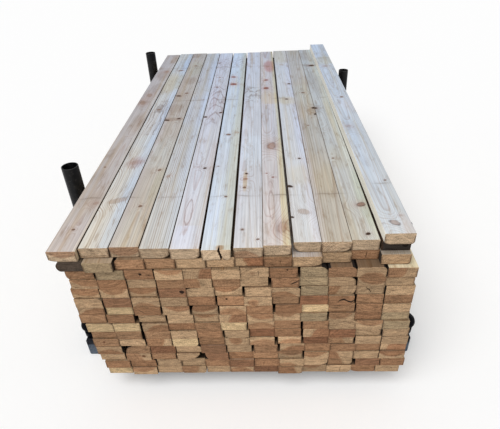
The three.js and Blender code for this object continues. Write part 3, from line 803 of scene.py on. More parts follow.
class Net:
    """The nodes of one material or world."""

    def __init__(self, name, owner=None):
        self.owner = owner or bpy.data.materials.new(name)
        self.owner.use_nodes = True
        self.tree = self.owner.node_tree
        self.tree.nodes.clear()

    def node(self, kind, inputs=(), **settings):
        """Adds a node: its settings first, then its inputs as values or links."""
        made = self.tree.nodes.new("ShaderNode" + kind)
        for key, value in settings.items():
            setattr(made, key, value)
        for key, value in dict(inputs).items():
            if isinstance(value, Number):
                value = value.socket
            if isinstance(value, bpy.types.NodeSocket):
                self.tree.links.new(value, made.inputs[key])
            else:
                made.inputs[key].default_value = value
        return made

    def math(self, operation, *values):
        """One Math node's result."""
        return Number(self, self.node("Math", enumerate(values), operation=operation).outputs[0])

    def vector(self, operation, *values):
        """One Vector Math node's result."""
        return self.node("VectorMath", enumerate(values), operation=operation).outputs[0]

    def length(self, vector):
        """How long a vector is."""
        return Number(self, self.node("VectorMath", {0: vector}, operation="LENGTH").outputs[1])

    def shade(self, colour, light):
        """A colour made lighter or darker: multiplied by a number."""
        made = self.node("VectorMath", {0: colour, "Scale": light}, operation="SCALE")
        return made.outputs[0]

    def attribute(self, name):
        """What the mesh carries under that name, as a vector."""
        return self.node("Attribute", attribute_name=name).outputs["Vector"]

    def split(self, vector):
        """The three numbers of a vector, or of the attribute of that name."""
        if isinstance(vector, str):
            vector = self.attribute(vector)
        return [Number(self, socket) for socket in self.node("SeparateXYZ", {0: vector}).outputs]

    def join(self, x, y, z):
        """A vector from three numbers."""
        return self.node("CombineXYZ", {0: x, 1: y, 2: z}).outputs[0]

    def place(self):
        """Where a point lies in the piece's own frame."""
        return self.node("TexCoord").outputs["Object"]

    def noise(self, place, detail=2.0, rough=0.5, scale=None):
        """Noise about nought, from -0.5 to 0.5, of a place multiplied by a scale."""
        if scale:
            place = self.vector("MULTIPLY", place, scale)
        made = self.node("TexNoise", {"Vector": place, "Scale": 1.0, "Detail": detail,
                                      "Roughness": rough})
        return Number(self, made.outputs[0]) - 0.5

    def steps(self, value, low, high):
        """0 below low and 1 above high, with a smooth rise between; low may be above high."""
        made = self.node("MapRange", {"Value": value, "From Min": low, "From Max": high},
                         interpolation_type="SMOOTHSTEP")
        return Number(self, made.outputs[0])

    def bell(self, value):
        """e to the power of minus the square."""
        return self.math("EXPONENT", 0 - value * value)

    def mix(self, share, under, over, blend="MIX"):
        """One colour laid over another by a share. Either may be a tone of 0 to 255."""
        under, over = ((*linear(c), 1.0) if isinstance(c, tuple) else c for c in (under, over))
        made = self.node("Mix", {0: share, 6: under, 7: over}, data_type="RGBA",
                         blend_type=blend, clamp_factor=True)
        return made.outputs[2]

    def times(self, colour, tint):
        """A colour multiplied by a tint."""
        return self.mix(1.0, colour, tint, "MULTIPLY")

    def finish(self, colour, roughness, height, ior, specular=0.5, metal=0.0):
        """Joins up the material's surface, with its relief in metres."""
        bump = self.node("Bump", {"Height": height, "Distance": 1.0, "Strength": 1.0})
        shader = self.node("BsdfPrincipled", {
            "Base Color": colour, "Roughness": roughness, "Normal": bump.outputs[0],
            "IOR": ior, "Specular IOR Level": specular, "Metallic": metal,
        })
        self.node("OutputMaterial", {"Surface": shader.outputs[0]})
        return self.owner


# ---- Materials -----------------------------------------------------------------------------
#
# The scale of a noise is in waves a metre: across, along and up, or along x, y and z. Relief is
# in metres and tones are 0 to 255. All other bare numbers are shares, weights and the two ends
# of smooth steps.

def knot_parts(net, name):
    """One turn of knots: how the rings swell round it, its eye, rim, halo and look.

    All go by the reach: the distance from the knot's axis over its radius, made ragged.
    """
    at = net.attribute("knot_" + name)
    radius, rim, halo = net.split("kind_" + name)
    dark, red, solid = net.split("look_" + name)
    away = net.length(net.vector("CROSS_PRODUCT", at, net.attribute("axis_" + name)))
    ragged = net.noise(at, 3.0, 0.6, (80, 50, 80)) * 0.8
    reach = away / radius
    worn = reach + ragged
    broken = net.steps(net.noise(at, 1.0, scale=(40, 40, 40)), -0.2, 0.1)
    return {
        "swell": net.bell(reach * 0.36) * radius * 1.3,
        "near": net.bell(reach * 0.3),
        "eye": net.steps(worn, 1.15, 0.75) * solid,
        "rim": net.bell((worn - 0.98) * 5.0) * rim * broken,
        "halo": net.bell(worn * 0.55) * halo,
        "rings": net.math("PINGPONG", away + ragged * 0.002, 0.0009) * 1100,
        "core": net.steps(worn, 0.6, 0.2) * red,
        "dark": dark,
        "red": red,
    }


def growth_rings(net, swell):
    """The log's rings: how late in its year the wood is, and the distance from the pith.

    The field is the distance from the log's bent middle, with wobble, the knots' swell and
    the taper added, over the ring width. Its whole part is the year, and its fraction rises
    from pale early wood to dark late wood and drops back.
    """
    log = net.attribute("log")
    x, y, z = net.split(log)
    width, contrast, heart = net.split("growth")
    taper = net.split("trend")[0]
    bent_x = x + net.noise(net.join(1.7, y * 0.9, 0.0), 1.0) * 0.030
    bent_z = z + net.noise(net.join(7.3, y * 0.7, 4.0), 1.0) * 0.010
    radius = net.math("SQRT", bent_x * bent_x + bent_z * bent_z)
    wobble = net.noise(log, scale=(11, 0.9, 11)) * 0.0045
    wobble = wobble + net.noise(log, scale=(90, 5, 90)) * 0.0008
    field = (radius + wobble + swell + y * taper) / width
    year = net.math("FLOOR", field)
    part = field - year
    lottery = net.node("TexWhiteNoise", {"W": year}, noise_dimensions="1D")
    strong = Number(net, lottery.outputs["Value"]) * 0.8 + 0.2
    soft = net.steps(part, 0.25, 0.95) * 0.3
    line = net.steps(part, 0.62, 0.86) * 0.7
    late = (soft + line) * net.steps(part, 1.0, 0.95) * strong
    return log, radius + wobble * 0.6, late, contrast, heart


def drawn_figure(net, stain_x, stain_y, number):
    """Growth rings that lie wide apart: the lines where a curved field crosses whole numbers."""
    rows, bow, closed = net.split("figure")
    ripple = net.noise(net.join(stain_x * 1.8, stain_y * 2.6, number * 7)) * (2.5 - closed)
    field = stain_x * stain_x * bow + stain_y * (stain_y * closed + rows) + ripple
    return net.steps(net.math("PINGPONG", field, 0.5), 0.28, 0.47) * net.steps(bow, 0.0, 0.2)


def with_knot(net, colour, knot):
    """A colour with a knot in it: halo, eye, the eye's core and rings, and rim."""
    stain = net.mix(knot["red"], (150, 120, 104), (172, 104, 84))
    colour = net.mix(knot["halo"] * 0.7, colour, stain)
    eye = net.mix(knot["red"], (166, 134, 104), (146, 66, 38))
    core = net.math("MAXIMUM", knot["dark"], knot["core"] * 0.6)
    eye = net.mix(core, eye, (34, 25, 21))
    eye = net.mix(knot["rings"] * 0.3, eye, (104, 70, 50))
    colour = net.mix(knot["eye"], colour, eye)
    return net.mix(knot["rim"], colour, (70, 44, 32))


def with_laths(net, colour, stickers):
    """A colour with the patchy grey lines of the laths that lay across the board."""
    place = net.place()
    x, y, _ = net.split(place)
    waver = net.noise(place, scale=(14, 3, 3))
    for line in STICKER_LINES:
        off = y + waver * 0.03 - line
        lath = net.bell(off / 0.004) * 0.4 + net.bell(off / 0.02) * 0.12
        patchy = net.steps(net.noise(net.join(x * 9, line, 0.0), 1.0), -0.06, 0.12)
        colour = net.mix(lath * patchy * stickers, colour, (120, 104, 90))
    return colour


def planed_wood():
    """Long faces: tones, stripes, stains and drawn figures, rings, knots, lath lines, edges.

    Painted shade: the sides of boards go dark where a neighbour covers them, more so below the top
    layer, and lower boards go dark behind their ends.
    """
    net = Net("planed_wood")
    knots = [knot_parts(net, name) for name in "ab"]
    log, radius, late, contrast, heart = growth_rings(net, knots[0]["swell"] + knots[1]["swell"])
    red, stickers, _ = net.split("heart")
    beside, grime_and_shade, number = net.split("place")
    lines_red = net.split("trend")[2]
    inside = net.split("rim")[2]
    fibre = net.noise(log, 2.0, 0.6, (520, 6, 520))
    streak = net.noise(log, 3.0, 0.65, (170, 1.6, 170))
    broad = net.noise(log, 3.0, 0.6, (38, 0.7, 38))
    blotch = net.noise(log, 3.0, 0.55, (12, 4, 12))
    mottle = net.noise(log, 4.0, 0.7, (44, 9, 44))
    edge = net.steps(beside + broad * 0.06 + streak * 0.05, -0.014, 0.014)
    colour = net.mix(edge, net.attribute("face_tone"), net.attribute("side_tone"))
    in_heart = net.steps(radius - heart, 0.004, -0.004)
    colour = net.mix(in_heart * red * 0.22, colour, (176, 136, 118))
    tan = net.times(colour, (244, 230, 208))
    cool = net.vector("MULTIPLY", colour, (0.99, 1.02, 1.06))
    colour = net.mix(net.steps(broad, 0.0, 0.2) * 0.7, colour, tan)
    colour = net.mix(net.steps(broad, -0.03, -0.22) * 0.7, colour, cool)
    dull = net.times(colour, (222, 206, 192))
    colour = net.mix(net.steps(mottle, 0.02, 0.22) * 0.75, colour, dull)
    stain_x, stain_y, strength = net.split("stain")
    spread = net.math("SQRT", stain_x * stain_x + stain_y * stain_y) + blotch * 1.1 + streak * 0.5
    stained = net.steps(spread, 1.15, 0.5) * strength
    colour = net.mix(stained, colour, net.times(colour, net.attribute("tint")))
    line = net.mix(lines_red, (206, 190, 176), (214, 178, 168))
    contrast = contrast * (1 + knots[0]["near"] * 0.4 + knots[1]["near"] * 0.4)
    colour = net.mix(late * contrast, colour, net.times(colour, line))
    line = net.mix(lines_red, (176, 166, 160), (198, 172, 166))
    drawn = drawn_figure(net, stain_x, stain_y, number)
    colour = net.mix(drawn * stained * 0.7, colour, net.times(colour, line))
    for knot in knots:
        colour = with_knot(net, colour, knot)
    colour = with_laths(net, colour, stickers)
    sideways = net.math("ABSOLUTE", net.split(net.node("NewGeometry").outputs["Normal"])[0])
    colour = net.mix(net.steps(sideways, 0.6, 0.85) * 0.85, colour, net.attribute("edge_tone"))
    # Painted shade: covered sides go near black in the gaps, darker below the top layer.
    gap_shade_tone = net.mix(net.steps(number, 1.9, 2.0), (72, 52, 38), (22, 13, 10))
    colour = net.mix(net.steps(grime_and_shade, 0.5, 1.0) * 0.95, colour, gap_shade_tone)
    colour = net.shade(colour, 1 + fibre * 0.3 + streak * 0.7 + blotch * 0.2 - mottle * 0.2)
    # Painted shade: inner boards of lower layers go near black behind their ends, faster in the
    # hole.
    deep = net.steps(inside, *LIT_BEHIND) * net.steps(number, 3.9, 4.0)
    colour = net.mix(deep * 0.9, colour, (26, 17, 13))
    rough = 0.66 + streak * 0.2 - late * 0.05
    height = late * 0.00005 + fibre * 0.0001 - knots[0]["rim"] * 0.0002 - knots[1]["rim"] * 0.0002
    return net.finish(colour, rough, height, 1.42, 0.25)


def sawn_wood():
    """Sawn ends: rings as arcs, heart and sap, saw marks, grimy patches, painted shade along the
    lower border, a knot and a check.

    A check is a ragged line from the middle of the end. Where it gapes, a curl of wood
    bends it.
    """
    net = Net("sawn_wood")
    mark = knot_parts(net, "a")
    log, radius, late, contrast, heart = growth_rings(net, mark["swell"] * 0.4)
    red, _, depth = net.split("heart")
    number = net.split("place")[2]
    x, _, z = net.split(log)
    flat = net.join(x, number * 3.1, z)
    cloud = net.noise(flat, 3.0, 0.6, (38, 1, 60))
    in_heart = net.steps(radius + cloud * 0.015 - heart, 0.0055, -0.0045)
    tone = net.attribute("end_tone")
    tint = net.mix(red, (221, 204, 196), (210, 182, 172))
    colour = net.mix(in_heart * depth, tone, net.times(tone, tint))
    colour = net.mix(late * contrast, colour, net.times(colour, (188, 164, 144)))
    bands = net.noise(net.join(radius * 190, number * 5, 0.0), 2.0, 0.6)
    blotch = net.noise(flat, 4.0, 0.7, (34, 1, 130))
    grain = net.noise(flat, 3.0, 0.75, (300, 1, 380))
    saw = net.noise(net.join(x * 30, number, z * 420 + x * 40))
    across, along, opening = net.split("check")
    gaping = net.steps(opening, 3.0, 3.5)
    curl = net.math("SINE", along * 130) * gaping * -0.006
    crooked = across + net.noise(net.join(along * 90, number, 0.0), 3.0) * 0.006 + curl
    span = net.steps(net.math("ABSOLUTE", along), 0.022 + gaping * 0.008, 0.002 + gaping * 0.01)
    crack = net.bell(crooked / (0.0004 + opening * 0.0003 + span * 0.0005)) * span * opening
    colour = net.shade(colour, 1 + bands * 0.8 + blotch * 1.6 + grain * 2.3 + saw * 1.1)
    grime_and_shade = net.steps(net.noise(flat, 4.0, 0.65, (45, 1, 60)), 0.14, 0.32)
    colour = net.mix(grime_and_shade * 0.4, colour, (92, 68, 50))
    brink, high, _ = net.split("rim")
    # Painted shade: a dark line along the lower border of the end, where the layers meet.
    border = net.steps(brink + blotch * 0.3, 0.86, 1.0) * net.split("trend")[1]
    colour = net.mix(border * net.steps(high, 0.95, 0.6) * 0.8, colour, (60, 40, 27))
    is_mark = net.math("ABSOLUTE", net.split("axis_a")[1])
    eye = net.mix(mark["dark"], (140, 90, 60), (30, 22, 18))
    colour = net.mix(mark["eye"] * net.steps(is_mark, 0.9, 0.99), colour, eye)
    colour = net.mix(crack, colour, (22, 15, 11))
    height = late * 0.0001 + grain * 0.0002 + saw * 0.0003 - crack * 0.001
    return net.finish(colour, 0.82 + grain * 0.1, height, 1.4, 0.2)


def bark_wood():
    """The round of the log left along a waned corner: brown and ridged, with bast fibres.

    It is bare and weather-worn on the outer sides of the stack, and near black inside it: painted
    shade.
    """
    net = Net("bark_edge")
    log = net.attribute("log")
    ridges = net.noise(log, 4.0, 0.65, (160, 14, 160))
    patches = net.noise(log, 3.0, 0.6, (40, 8, 40))
    inside = net.split("rim")[2]
    number = net.split("place")[2]
    colour = net.mix(net.steps(patches, -0.12, 0.16), (38, 27, 20), (84, 60, 42))
    colour = net.mix(net.steps(ridges, 0.0, 0.2), colour, (112, 86, 62))
    colour = net.mix(net.steps(ridges, -0.08, -0.22), colour, (20, 15, 12))
    peeled = net.steps(inside, -0.1, -0.5) * net.steps(number, 1.9, 2.0)
    bare = net.mix(net.steps(ridges, -0.2, 0.2), (128, 104, 80), (164, 140, 112))
    colour = net.mix(peeled * net.steps(patches, -0.3, -0.1), colour, bare)
    # Painted shade: bark deep inside the stack goes near black.
    colour = net.mix(net.steps(inside, -0.5, -0.1) * 0.9, colour, (12, 7, 6))
    return net.finish(colour, 0.85 + ridges * 0.1, ridges * 0.0016, 1.4)


def painted_steel(name, base, worn_to, dust, gloss=0.16):
    """Satin paint over steel: orange peel, scuffs, wear down to another tone, settled dust.

    The gloss is the share of light that the paint mirrors, and it changes slowly.
    """
    net = Net(name)
    place = net.place()
    wear = net.split("wear")[0]
    peel = net.noise(place, scale=(420, 420, 420))
    cloud = net.noise(place, 4.0, 0.6, (11, 11, 11))
    scratch = net.noise(place, 3.0, 0.7, (260, 260, 26))
    fine = net.noise(place, 5.0, 0.7, (70, 70, 70))
    bare = net.steps(wear + fine * 1.5 + cloud * 0.5, 0.62, 0.86)
    scuffed = net.steps(scratch, 0.19, 0.3) * net.steps(cloud, -0.04, 0.2)
    dusty = net.steps(cloud + fine * 0.5, -0.06, 0.3) * dust
    colour = net.mix(cloud * 0.8 + 0.3, base, tuple(c + 9 for c in base))
    colour = net.mix(dusty, colour, (112, 106, 98))
    colour = net.mix(scuffed * 0.5, colour, (60, 60, 62))
    colour = net.mix(bare, colour, worn_to)
    rough = 0.36 + cloud * 0.22 + dusty * 0.4 + scuffed * 0.15 + peel * 0.05
    height = peel * 0.00006 - scuffed * 0.00004 - bare * 0.00008
    return net.finish(colour, rough, height, 1.5, gloss, bare * 0.6)


def moulded_plastic():
    """Blue-grey moulded plastic, scuffed, and black towards the top."""
    net = Net("plug_plastic")
    place = net.place()
    cloud = net.noise(place, 4.0, 0.6, (24, 24, 24))
    fine = net.noise(place, 3.0, 0.6, (380, 380, 380))
    colour = net.mix(cloud * 2.2 + 0.5, (60, 70, 83), (94, 104, 116))
    colour = net.mix(net.steps(fine, 0.06, 0.2) * 0.5, colour, (160, 158, 152))
    high = net.split(place)[2] + cloud * 0.03
    colour = net.mix(net.steps(high, *PLUG_BLACK_TOP) * 0.95, colour, (9, 10, 17))
    return net.finish(colour, 0.6 + cloud * 0.3, fine * 0.00012, 1.46, 0.12)


# ---- Pieces --------------------------------------------------------------------------------

def link(name, data):
    """Puts an object into the scene."""
    made = bpy.data.objects.new(name, data)
    bpy.context.scene.collection.objects.link(made)
    return made


def add_mesh(name, points, faces, materials):
    """A mesh object from an array of points and arrays of faces."""
    mesh = bpy.data.meshes.new(name)
    mesh.from_pydata(points.tolist(), [], [face for group in faces for face in group.tolist()])
    for material in materials:
        mesh.materials.append(material)
    return link(name, mesh)


def claim(piece, node):
    """The piece rides on the rack and stands for its CAD node."""
    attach(piece, "root")
    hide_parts(node)


def outward(points, groups):
    """Faces turned outward.

    The triple products of their corners add up to six times the volume inside, or to less
    than nought where they face in.
    """
    inside = points - points.mean(0)
    volume = 0.0
    for faces in groups:
        for second in range(1, faces.shape[1] - 1):
            a, b, c = (inside[faces[:, k]] for k in (0, second, second + 1))
            volume += (a * np.cross(b, c)).sum()
    return [faces[:, ::-1] for faces in groups] if volume < 0 else groups


def skin(rings, around=False):
    """Points and faces of a surface through rings, shape (rings, points, 3)."""
    points = rings.reshape(-1, 3) if around else with_hubs(rings)
    return points, outward(points, ring_faces(*rings.shape[:2], around))


def split_end(piece, board):
    """Opens the split in a board's end: a ragged wedge is cut out of it.

    The wedge is a triangle in plan, carried down through the board. It leans to the right
    towards the underside, and its line and mouth wander a little on the way.
    """
    level = np.linspace(-2 * MM, board["thick"] + 2 * MM, 16)
    down = np.clip(1 - level / board["thick"], 0, None)
    line = SPLIT_IN + SPLIT_LEAN * down ** 1.4 + drift(level * 8, 61) * 1.1 * MM
    half = SPLIT_MOUTH / 2 * (1 + 0.3 * drift(level * 14, 62))
    deep = SPLIT_DEEP * (1 + 0.15 * drift(level * 10, 63))
    front = np.full_like(level, -2 * MM)
    tip = line + 1.5 * MM * drift(level * 6, 64)
    rings = [[line - half, front, level], [line + half, front, level], [tip, deep, level]]
    points, groups = skin(np.array(rings).transpose(2, 0, 1))
    wedge = add_mesh("split_wedge", to_model(board, points), groups, WOOD)
    bark = np.full(len(wedge.data.polygons), BARK, np.int32)
    wedge.data.polygons.foreach_set("material_index", bark)
    cut = piece.modifiers.new("split", "BOOLEAN")
    cut.operation = "DIFFERENCE"
    cut.solver = "EXACT"
    cut.object = wedge
    graph = bpy.context.evaluated_depsgraph_get()
    opened = bpy.data.meshes.new_from_object(piece.evaluated_get(graph))
    piece.modifiers.clear()
    piece.data = opened
    bpy.data.objects.remove(wedge)


def add_boards(name, boards, node, slot):
    """Builds one piece from one or more boards, in place of their CAD node."""
    for board in boards:
        settle(board)
        grow(board)
    points, quads, fans, slots, smooth = zip(*map(board_mesh, boards))
    sizes = [len(at) for at in points]
    starts = np.cumsum([0, *sizes])
    faces = [np.concatenate([group + start for group, start in zip(groups, starts)])
             for groups in (quads, fans)]
    piece = add_mesh(name, np.concatenate(points), faces, WOOD)
    count = len(faces[1])
    slots = np.concatenate([*slots, [SAWN] * count]).astype(np.int32)
    piece.data.polygons.foreach_set("material_index", slots)
    smooth = np.concatenate([*smooth, [False] * count])
    piece.data.polygons.foreach_set("use_smooth", smooth)
    piece.data.update()
    piece["boards"] = len(boards)
    claim(piece, node)
    owner = np.repeat(np.arange(len(boards)), sizes)
    if boards[0]["spot"] == SPLIT_BOARD:
        split_end(piece, boards[0])
        owner = np.zeros(len(piece.data.vertices), int)
    dress(piece.data, boards, owner)


def bare_sides(fronts, k):
    """How far a board's left and right sides stand out in front of its neighbours."""
    left = fronts[k - 1] - fronts[k] if k else 0
    right = fronts[k + 1] - fronts[k] if k + 1 < len(fronts) else 0
    return tuple(out if out > SHOWS_BARE else 0 for out in (left, right))


WOOD = [planed_wood(), sawn_wood(), bark_wood()]
top_boards = [read_boards(f"board_{number:02d}", 1, number) for number in range(1, 13)]
top_fronts = [boards[0]["front"] for boards in top_boards]

for number, boards in enumerate(top_boards, 1):
    boards[0]["bare"] = bare_sides(top_fronts, number - 1)
    add_boards(f"top_board_{number:02d}", boards, f"board_{number:02d}",
               "board_dark" if number == 12 else "board_top")

for layer in range(2, 16):
    node = f"layer_{layer:02d}"
    add_boards(f"boards_{layer:02d}", read_boards(node, layer), node, "board_layer")

loose = read_boards("board_loose", 0, yaw=node_yaw("board_loose"))
add_boards("loose_board", loose, "board_loose", "board_top")


# ---- Steelwork -----------------------------------------------------------------------------

TUBE_SIDES = 72
LIP = 0.9 * MM                # how far a cut edge of steel is rounded
SLEEVE_LIP = 1.4 * MM
POST_WALL = 3.9 * MM
SLEEVE_WALL = 6 * MM
SCREW_UP = 72 * MM            # a sleeve's set screw, above the sleeve's foot
RAIL_CORNER = 6 * MM          # outside corner radius of the rectangular tubes
RAIL_WALL = 4 * MM
BEARER_WALL = 5 * MM
PLUG_FIT = 4.5                # millimetres from a plug's outline to the outline of its stub
STOP_NECK = 23 * MM           # radius of a corner stop's neck
STOP_RIM = 50 * MM            # height at which a corner stop's dome begins
STOP_DOME = 26 * MM           # height of the dome
WELD = 3 * MM
BEAD_POINTS = 150
SHARP = 0.62                  # edges that turn by more than this, in radians, are sharp


def filleted(points, radius, steps=5, closed=True):
    """An outline with each corner replaced by a quadratic curve.

    The curve runs between the points that lie the radius away along the corner's two sides.
    An open outline keeps its two ends.
    """
    points = np.asarray(points, float)
    before = np.roll(points, 1, 0) - points
    after = np.roll(points, -1, 0) - points
    start = points + before / np.linalg.norm(before, axis=1, keepdims=True) * radius
    end = points + after / np.linalg.norm(after, axis=1, keepdims=True) * radius
    t = np.linspace(0, 1, steps)[None, :, None]
    curve = (1 - t) ** 2 * start[:, None] + 2 * t * (1 - t) * points[:, None] + t ** 2 * end[:, None]
    if closed:
        return curve.reshape(-1, 2)
    return np.concatenate([points[:1], curve[1:-1].reshape(-1, 2), points[-1:]])


def rectangle(width, height, inset=0.0):
    """The corners of an upright rectangle standing on nought, anticlockwise, set in all round."""
    half = width / 2 - inset
    return [(-half, inset), (half, inset), (half, height - inset), (-half, height - inset)]


def circle(count):
    """The points of a level circle of radius 1: cosine and sine of even angles."""
    angle = np.linspace(0, 2 * math.pi, count, endpoint=False)
    return np.stack([np.cos(angle), np.sin(angle), 0 * angle], 1)


def across_y(outline, along):
    """A flat outline stood up across the Y axis at a distance along it."""
    return np.stack([outline[:, 0], np.full(len(outline), along), outline[:, 1]], 1)


def lathe(profile, centre):
    """Rings of a shape turned about an upright axis, from a profile of radius and height.

    Each ring is a level circle times the profile's radius, lifted to the profile's height.
    """
    rings = circle(TUBE_SIDES) * profile[:, None, :1] + [centre[0], centre[1], 0.0]
    rings[..., 2] = profile[:, None, 1]
    return rings


def pipe_profile(outer, wall, low, high, lip):
    """The closed outline of a pipe's wall with rounded lips, as radius and height."""
    inner = outer - wall
    return filleted([(inner, low), (outer, low), (outer, high), (inner, high)], lip)


def box_tube(width, height, wall, start, end):
    """Rings of a rectangular tube: out along its outline and back along its hollow.

    They are given as across, along and up. The edges of the tube's ends are rounded by LIP.
    """
    inner = RAIL_CORNER - wall * 0.7
    outline, tucked, hollow, flared = (
        filleted(rectangle(width, height, inset), corner)
        for inset, corner in ((0.0, RAIL_CORNER), (LIP, RAIL_CORNER - LIP), (wall, inner),
                              (wall - 0.5 * LIP, inner))
    )
    route = [(tucked, start), (outline, start + LIP), (outline, end - LIP), (tucked, end),
             (flared, end), (hollow, end - LIP), (hollow, start + LIP), (flared, start)]
    return np.array([across_y(ring, along) for ring, along in route])


def bead(path, out, up, seed):
    """Rings of a weld bead on a closed path: a small circle carried along it.

    The circle lies in the plane of out and up. Its radius ripples with the weld's steps, as
    the size of a sine, and wanders a little with a slower one.
    """
    rng = np.random.default_rng(seed)
    count = len(path)
    run = np.linspace(0, 1, count, endpoint=False)
    ripple = 0.16 * np.abs(np.sin(run * math.pi * round(count / 3)))
    wander = 0.12 * np.sin(run * 2 * math.pi * 5 + rng.uniform(0, 6))
    size = WELD * (0.88 + ripple + wander)
    turn = np.linspace(0, 2 * math.pi, 8, endpoint=False)[None, :, None]
    spread = np.cos(turn) * out[:, None] + np.sin(turn) * np.array(up, float)
    return path[:, None] + spread * size[:, None, None]


def round_weld(centre, radius, height, seed):
    """A weld bead on a level circle."""
    out = circle(BEAD_POINTS)
    rings = bead(out * radius + [centre[0], centre[1], height], out, (0, 0, 1), seed)
    rings[..., 0] = np.clip(rings[..., 0], CAD_BOX[0].x, CAD_BOX[1].x)
    return rings


def tube_weld(width, height, x, y, low, seed):
    """A weld bead round a rectangular tube where it meets a wall that faces along X.

    The tube's outline is walked in even steps. Out is a right angle to the way ahead.
    """
    outline = filleted(rectangle(width, height), RAIL_CORNER)
    closed = np.concatenate([outline, outline[:1]])
    run = np.concatenate([[0], np.cumsum(np.linalg.norm(np.diff(closed, axis=0), axis=1))])
    want = np.linspace(0, run[-1], BEAD_POINTS, endpoint=False)
    path = np.stack([np.interp(want, run, closed[:, k]) for k in (0, 1)], 1)
    ahead = np.roll(path, -1, 0) - np.roll(path, 1, 0)
    ahead /= np.linalg.norm(ahead, axis=1, keepdims=True)
    nought = np.zeros(BEAD_POINTS)
    out = np.stack([nought, ahead[:, 1], -ahead[:, 0]], 1)
    path = np.stack([nought + x, path[:, 0] + y, path[:, 1] + low], 1)
    return bead(path, out, (1, 0, 0), seed)


def set_screw(centre, reach, height, away):
    """Rings of a welded nut with a hexagon screw in it, pointing out along Y.

    One hexagon is carried outward, wide for the nut, narrow for the shank, wide for the head.
    The route gives its radius and how far out it is, in millimetres.
    """
    hexagon = filleted(circle(6)[:, :2], 0.12, 3)
    route = ((9.6, -4), (9.6, 7), (8.9, 8), (4.8, 8), (4.8, 12.5), (8.4, 12.5), (9.2, 13.2),
             (9.2, 18.5), (8.2, 19.5))
    return np.array([
        across_y(hexagon * radius * MM, centre[1] + away * (reach + out * MM))
        for radius, out in route
    ]) + [centre[0], 0, height]


def plug_rings(width, height, face, away):
    """Rings of a tube plug: a rimmed plate with a shallow panel, and a stub inside the tube.

    They are given as across, along and up. The tube's end face is at `face` and the plate
    stands off it along `away`. The route gives how far each ring is set in, how far out it
    is and its corner radius, in millimetres.
    """
    route = ((8.5, 4.6, 2), (7.5, 5.0, 2.5), (6.8, 5.9, 3), (3.0, 6.0, 5), (1.2, 5.2, 5.5),
             (0.0, 3.6, 6), (0.0, 0.4, 6), (0.4, 0.0, 6),
             (PLUG_FIT, 0.0, 2.5), (PLUG_FIT, -20.0, 2.5), (PLUG_FIT + 1, -22.0, 2.5))
    return np.array([
        across_y(filleted(rectangle(width, height, inset * MM), corner * MM),
                 face + away * out * MM)
        for inset, out, corner in route
    ])


def stop_profile(radius, low):
    """A corner stop from its foot to its crown: collar, neck, cap and an elliptical dome.

    The dome is radius times cosine outward and its own height times sine up.
    """
    collar = radius - 6 * MM
    steps = [(collar * 0.6, 0), (collar, 0), (collar, 21 * MM), (STOP_NECK, 24 * MM),
             (STOP_NECK, 36 * MM), (radius - 9 * MM, 36 * MM), (radius, 45 * MM),
             (radius, STOP_RIM)]
    t = np.linspace(0.06, 1.5, 12)
    dome = np.stack([radius * np.cos(t), STOP_RIM + STOP_DOME * np.sin(t)], 1)
    profile = np.concatenate([filleted(steps, 1.6 * MM, closed=False), dome])
    return profile + [0, low]


def box_of(node):
    """A CAD node's box: its low corner, its high corner, its size and its middle."""
    low, high = (np.array(corner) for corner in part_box(node))
    return low, high, high - low, (low + high) / 2


def worn_above(profile, level, worn, elsewhere=0.1):
    """The wear of each point of a profile: more of it above a level."""
    return np.where(profile[:, 1] > level, worn, elsewhere)


def add_steel(name, node, material, shapes):
    """One piece from several rings, each with its wear, standing for a CAD node.

    Each shape is (rings, whether they close on themselves, wear of every ring or of each).
    """
    points, groups, worn, base = [], [], [], 0
    for rings, around, wear in shapes:
        at, faces = skin(rings, around)
        points.append(at)
        groups.extend(group + base for group in faces)
        level = np.repeat(np.broadcast_to(wear, len(rings)), rings.shape[1])
        worn.append(np.concatenate([level, np.full(len(at) - len(level), level[-1])]))
        base += len(at)
    piece = add_mesh(name, np.concatenate(points), groups, [material])
    mesh = piece.data
    mesh.polygons.foreach_set("use_smooth", np.ones(len(mesh.polygons), bool))
    write(mesh, "wear", np.repeat(np.concatenate(worn)[:, None], 3, 1), "POINT")
    mesh.update()
    mesh.set_sharp_from_angle(angle=SHARP)
    claim(piece, node)


steel = painted_steel("black_paint", (9, 10, 13), (70, 69, 69), 0.09)
stop_steel = painted_steel("black_paint_stop", (3, 4, 9), (22, 23, 28), 0.0, 0.03)
dusty_steel = painted_steel("black_paint_dusty", (11, 12, 17), (62, 61, 61), 0.14)
plastic = moulded_plastic()

for seed, corner in enumerate(("front_left", "front_right", "back_left", "back_right")):
    end, side = corner.split("_")
    away = -1 if end == "front" else 1

    node = f"post_{corner}"
    low, high, size, middle = box_of(node)
    profile = pipe_profile(size[0] / 2, POST_WALL, low[2], high[2], LIP)
    worn = worn_above(profile, high[2] - 1.5 * MM, 0.5)
    add_steel(f"pipe_{node}", node, steel, [(lathe(profile, middle), True, worn)])

    node = f"sleeve_{corner}"         # about the post's own middle
    low, high, size, _ = box_of(node)
    reach = size[0] / 2
    profile = pipe_profile(reach, SLEEVE_WALL, low[2], high[2], SLEEVE_LIP)
    worn = worn_above(profile, high[2] - 2 * MM, 0.42)
    add_steel(f"post_{node}", node, steel, [
        (lathe(profile, middle), True, worn),
        (round_weld(middle, reach - 0.8 * MM, low[2] + 1.2 * MM, seed), True, 0.15),
        (set_screw(middle, reach, low[2] + SCREW_UP, away), False, 0.35),
    ])

    node = f"corner_stop_{corner}"
    low, high, size, middle = box_of(node)
    profile = stop_profile(size[0] / 2, low[2])
    worn = worn_above(profile, low[2] + 48 * MM, 0.32, 0.12)
    add_steel(f"round_stop_{corner}", node, stop_steel, [(lathe(profile, middle), False, worn)])

    node = f"rail_plug_{corner}"
    low, high, size, middle = box_of(node)
    rail_low, rail_high, *_ = box_of(f"rail_{side}")
    face = (rail_low if end == "front" else rail_high)[1]
    rings = plug_rings(size[0], size[2], face, away) + [middle[0], 0, low[2]]
    add_steel(f"tube_plug_{corner}", node, plastic, [(rings, False, 0.1)])

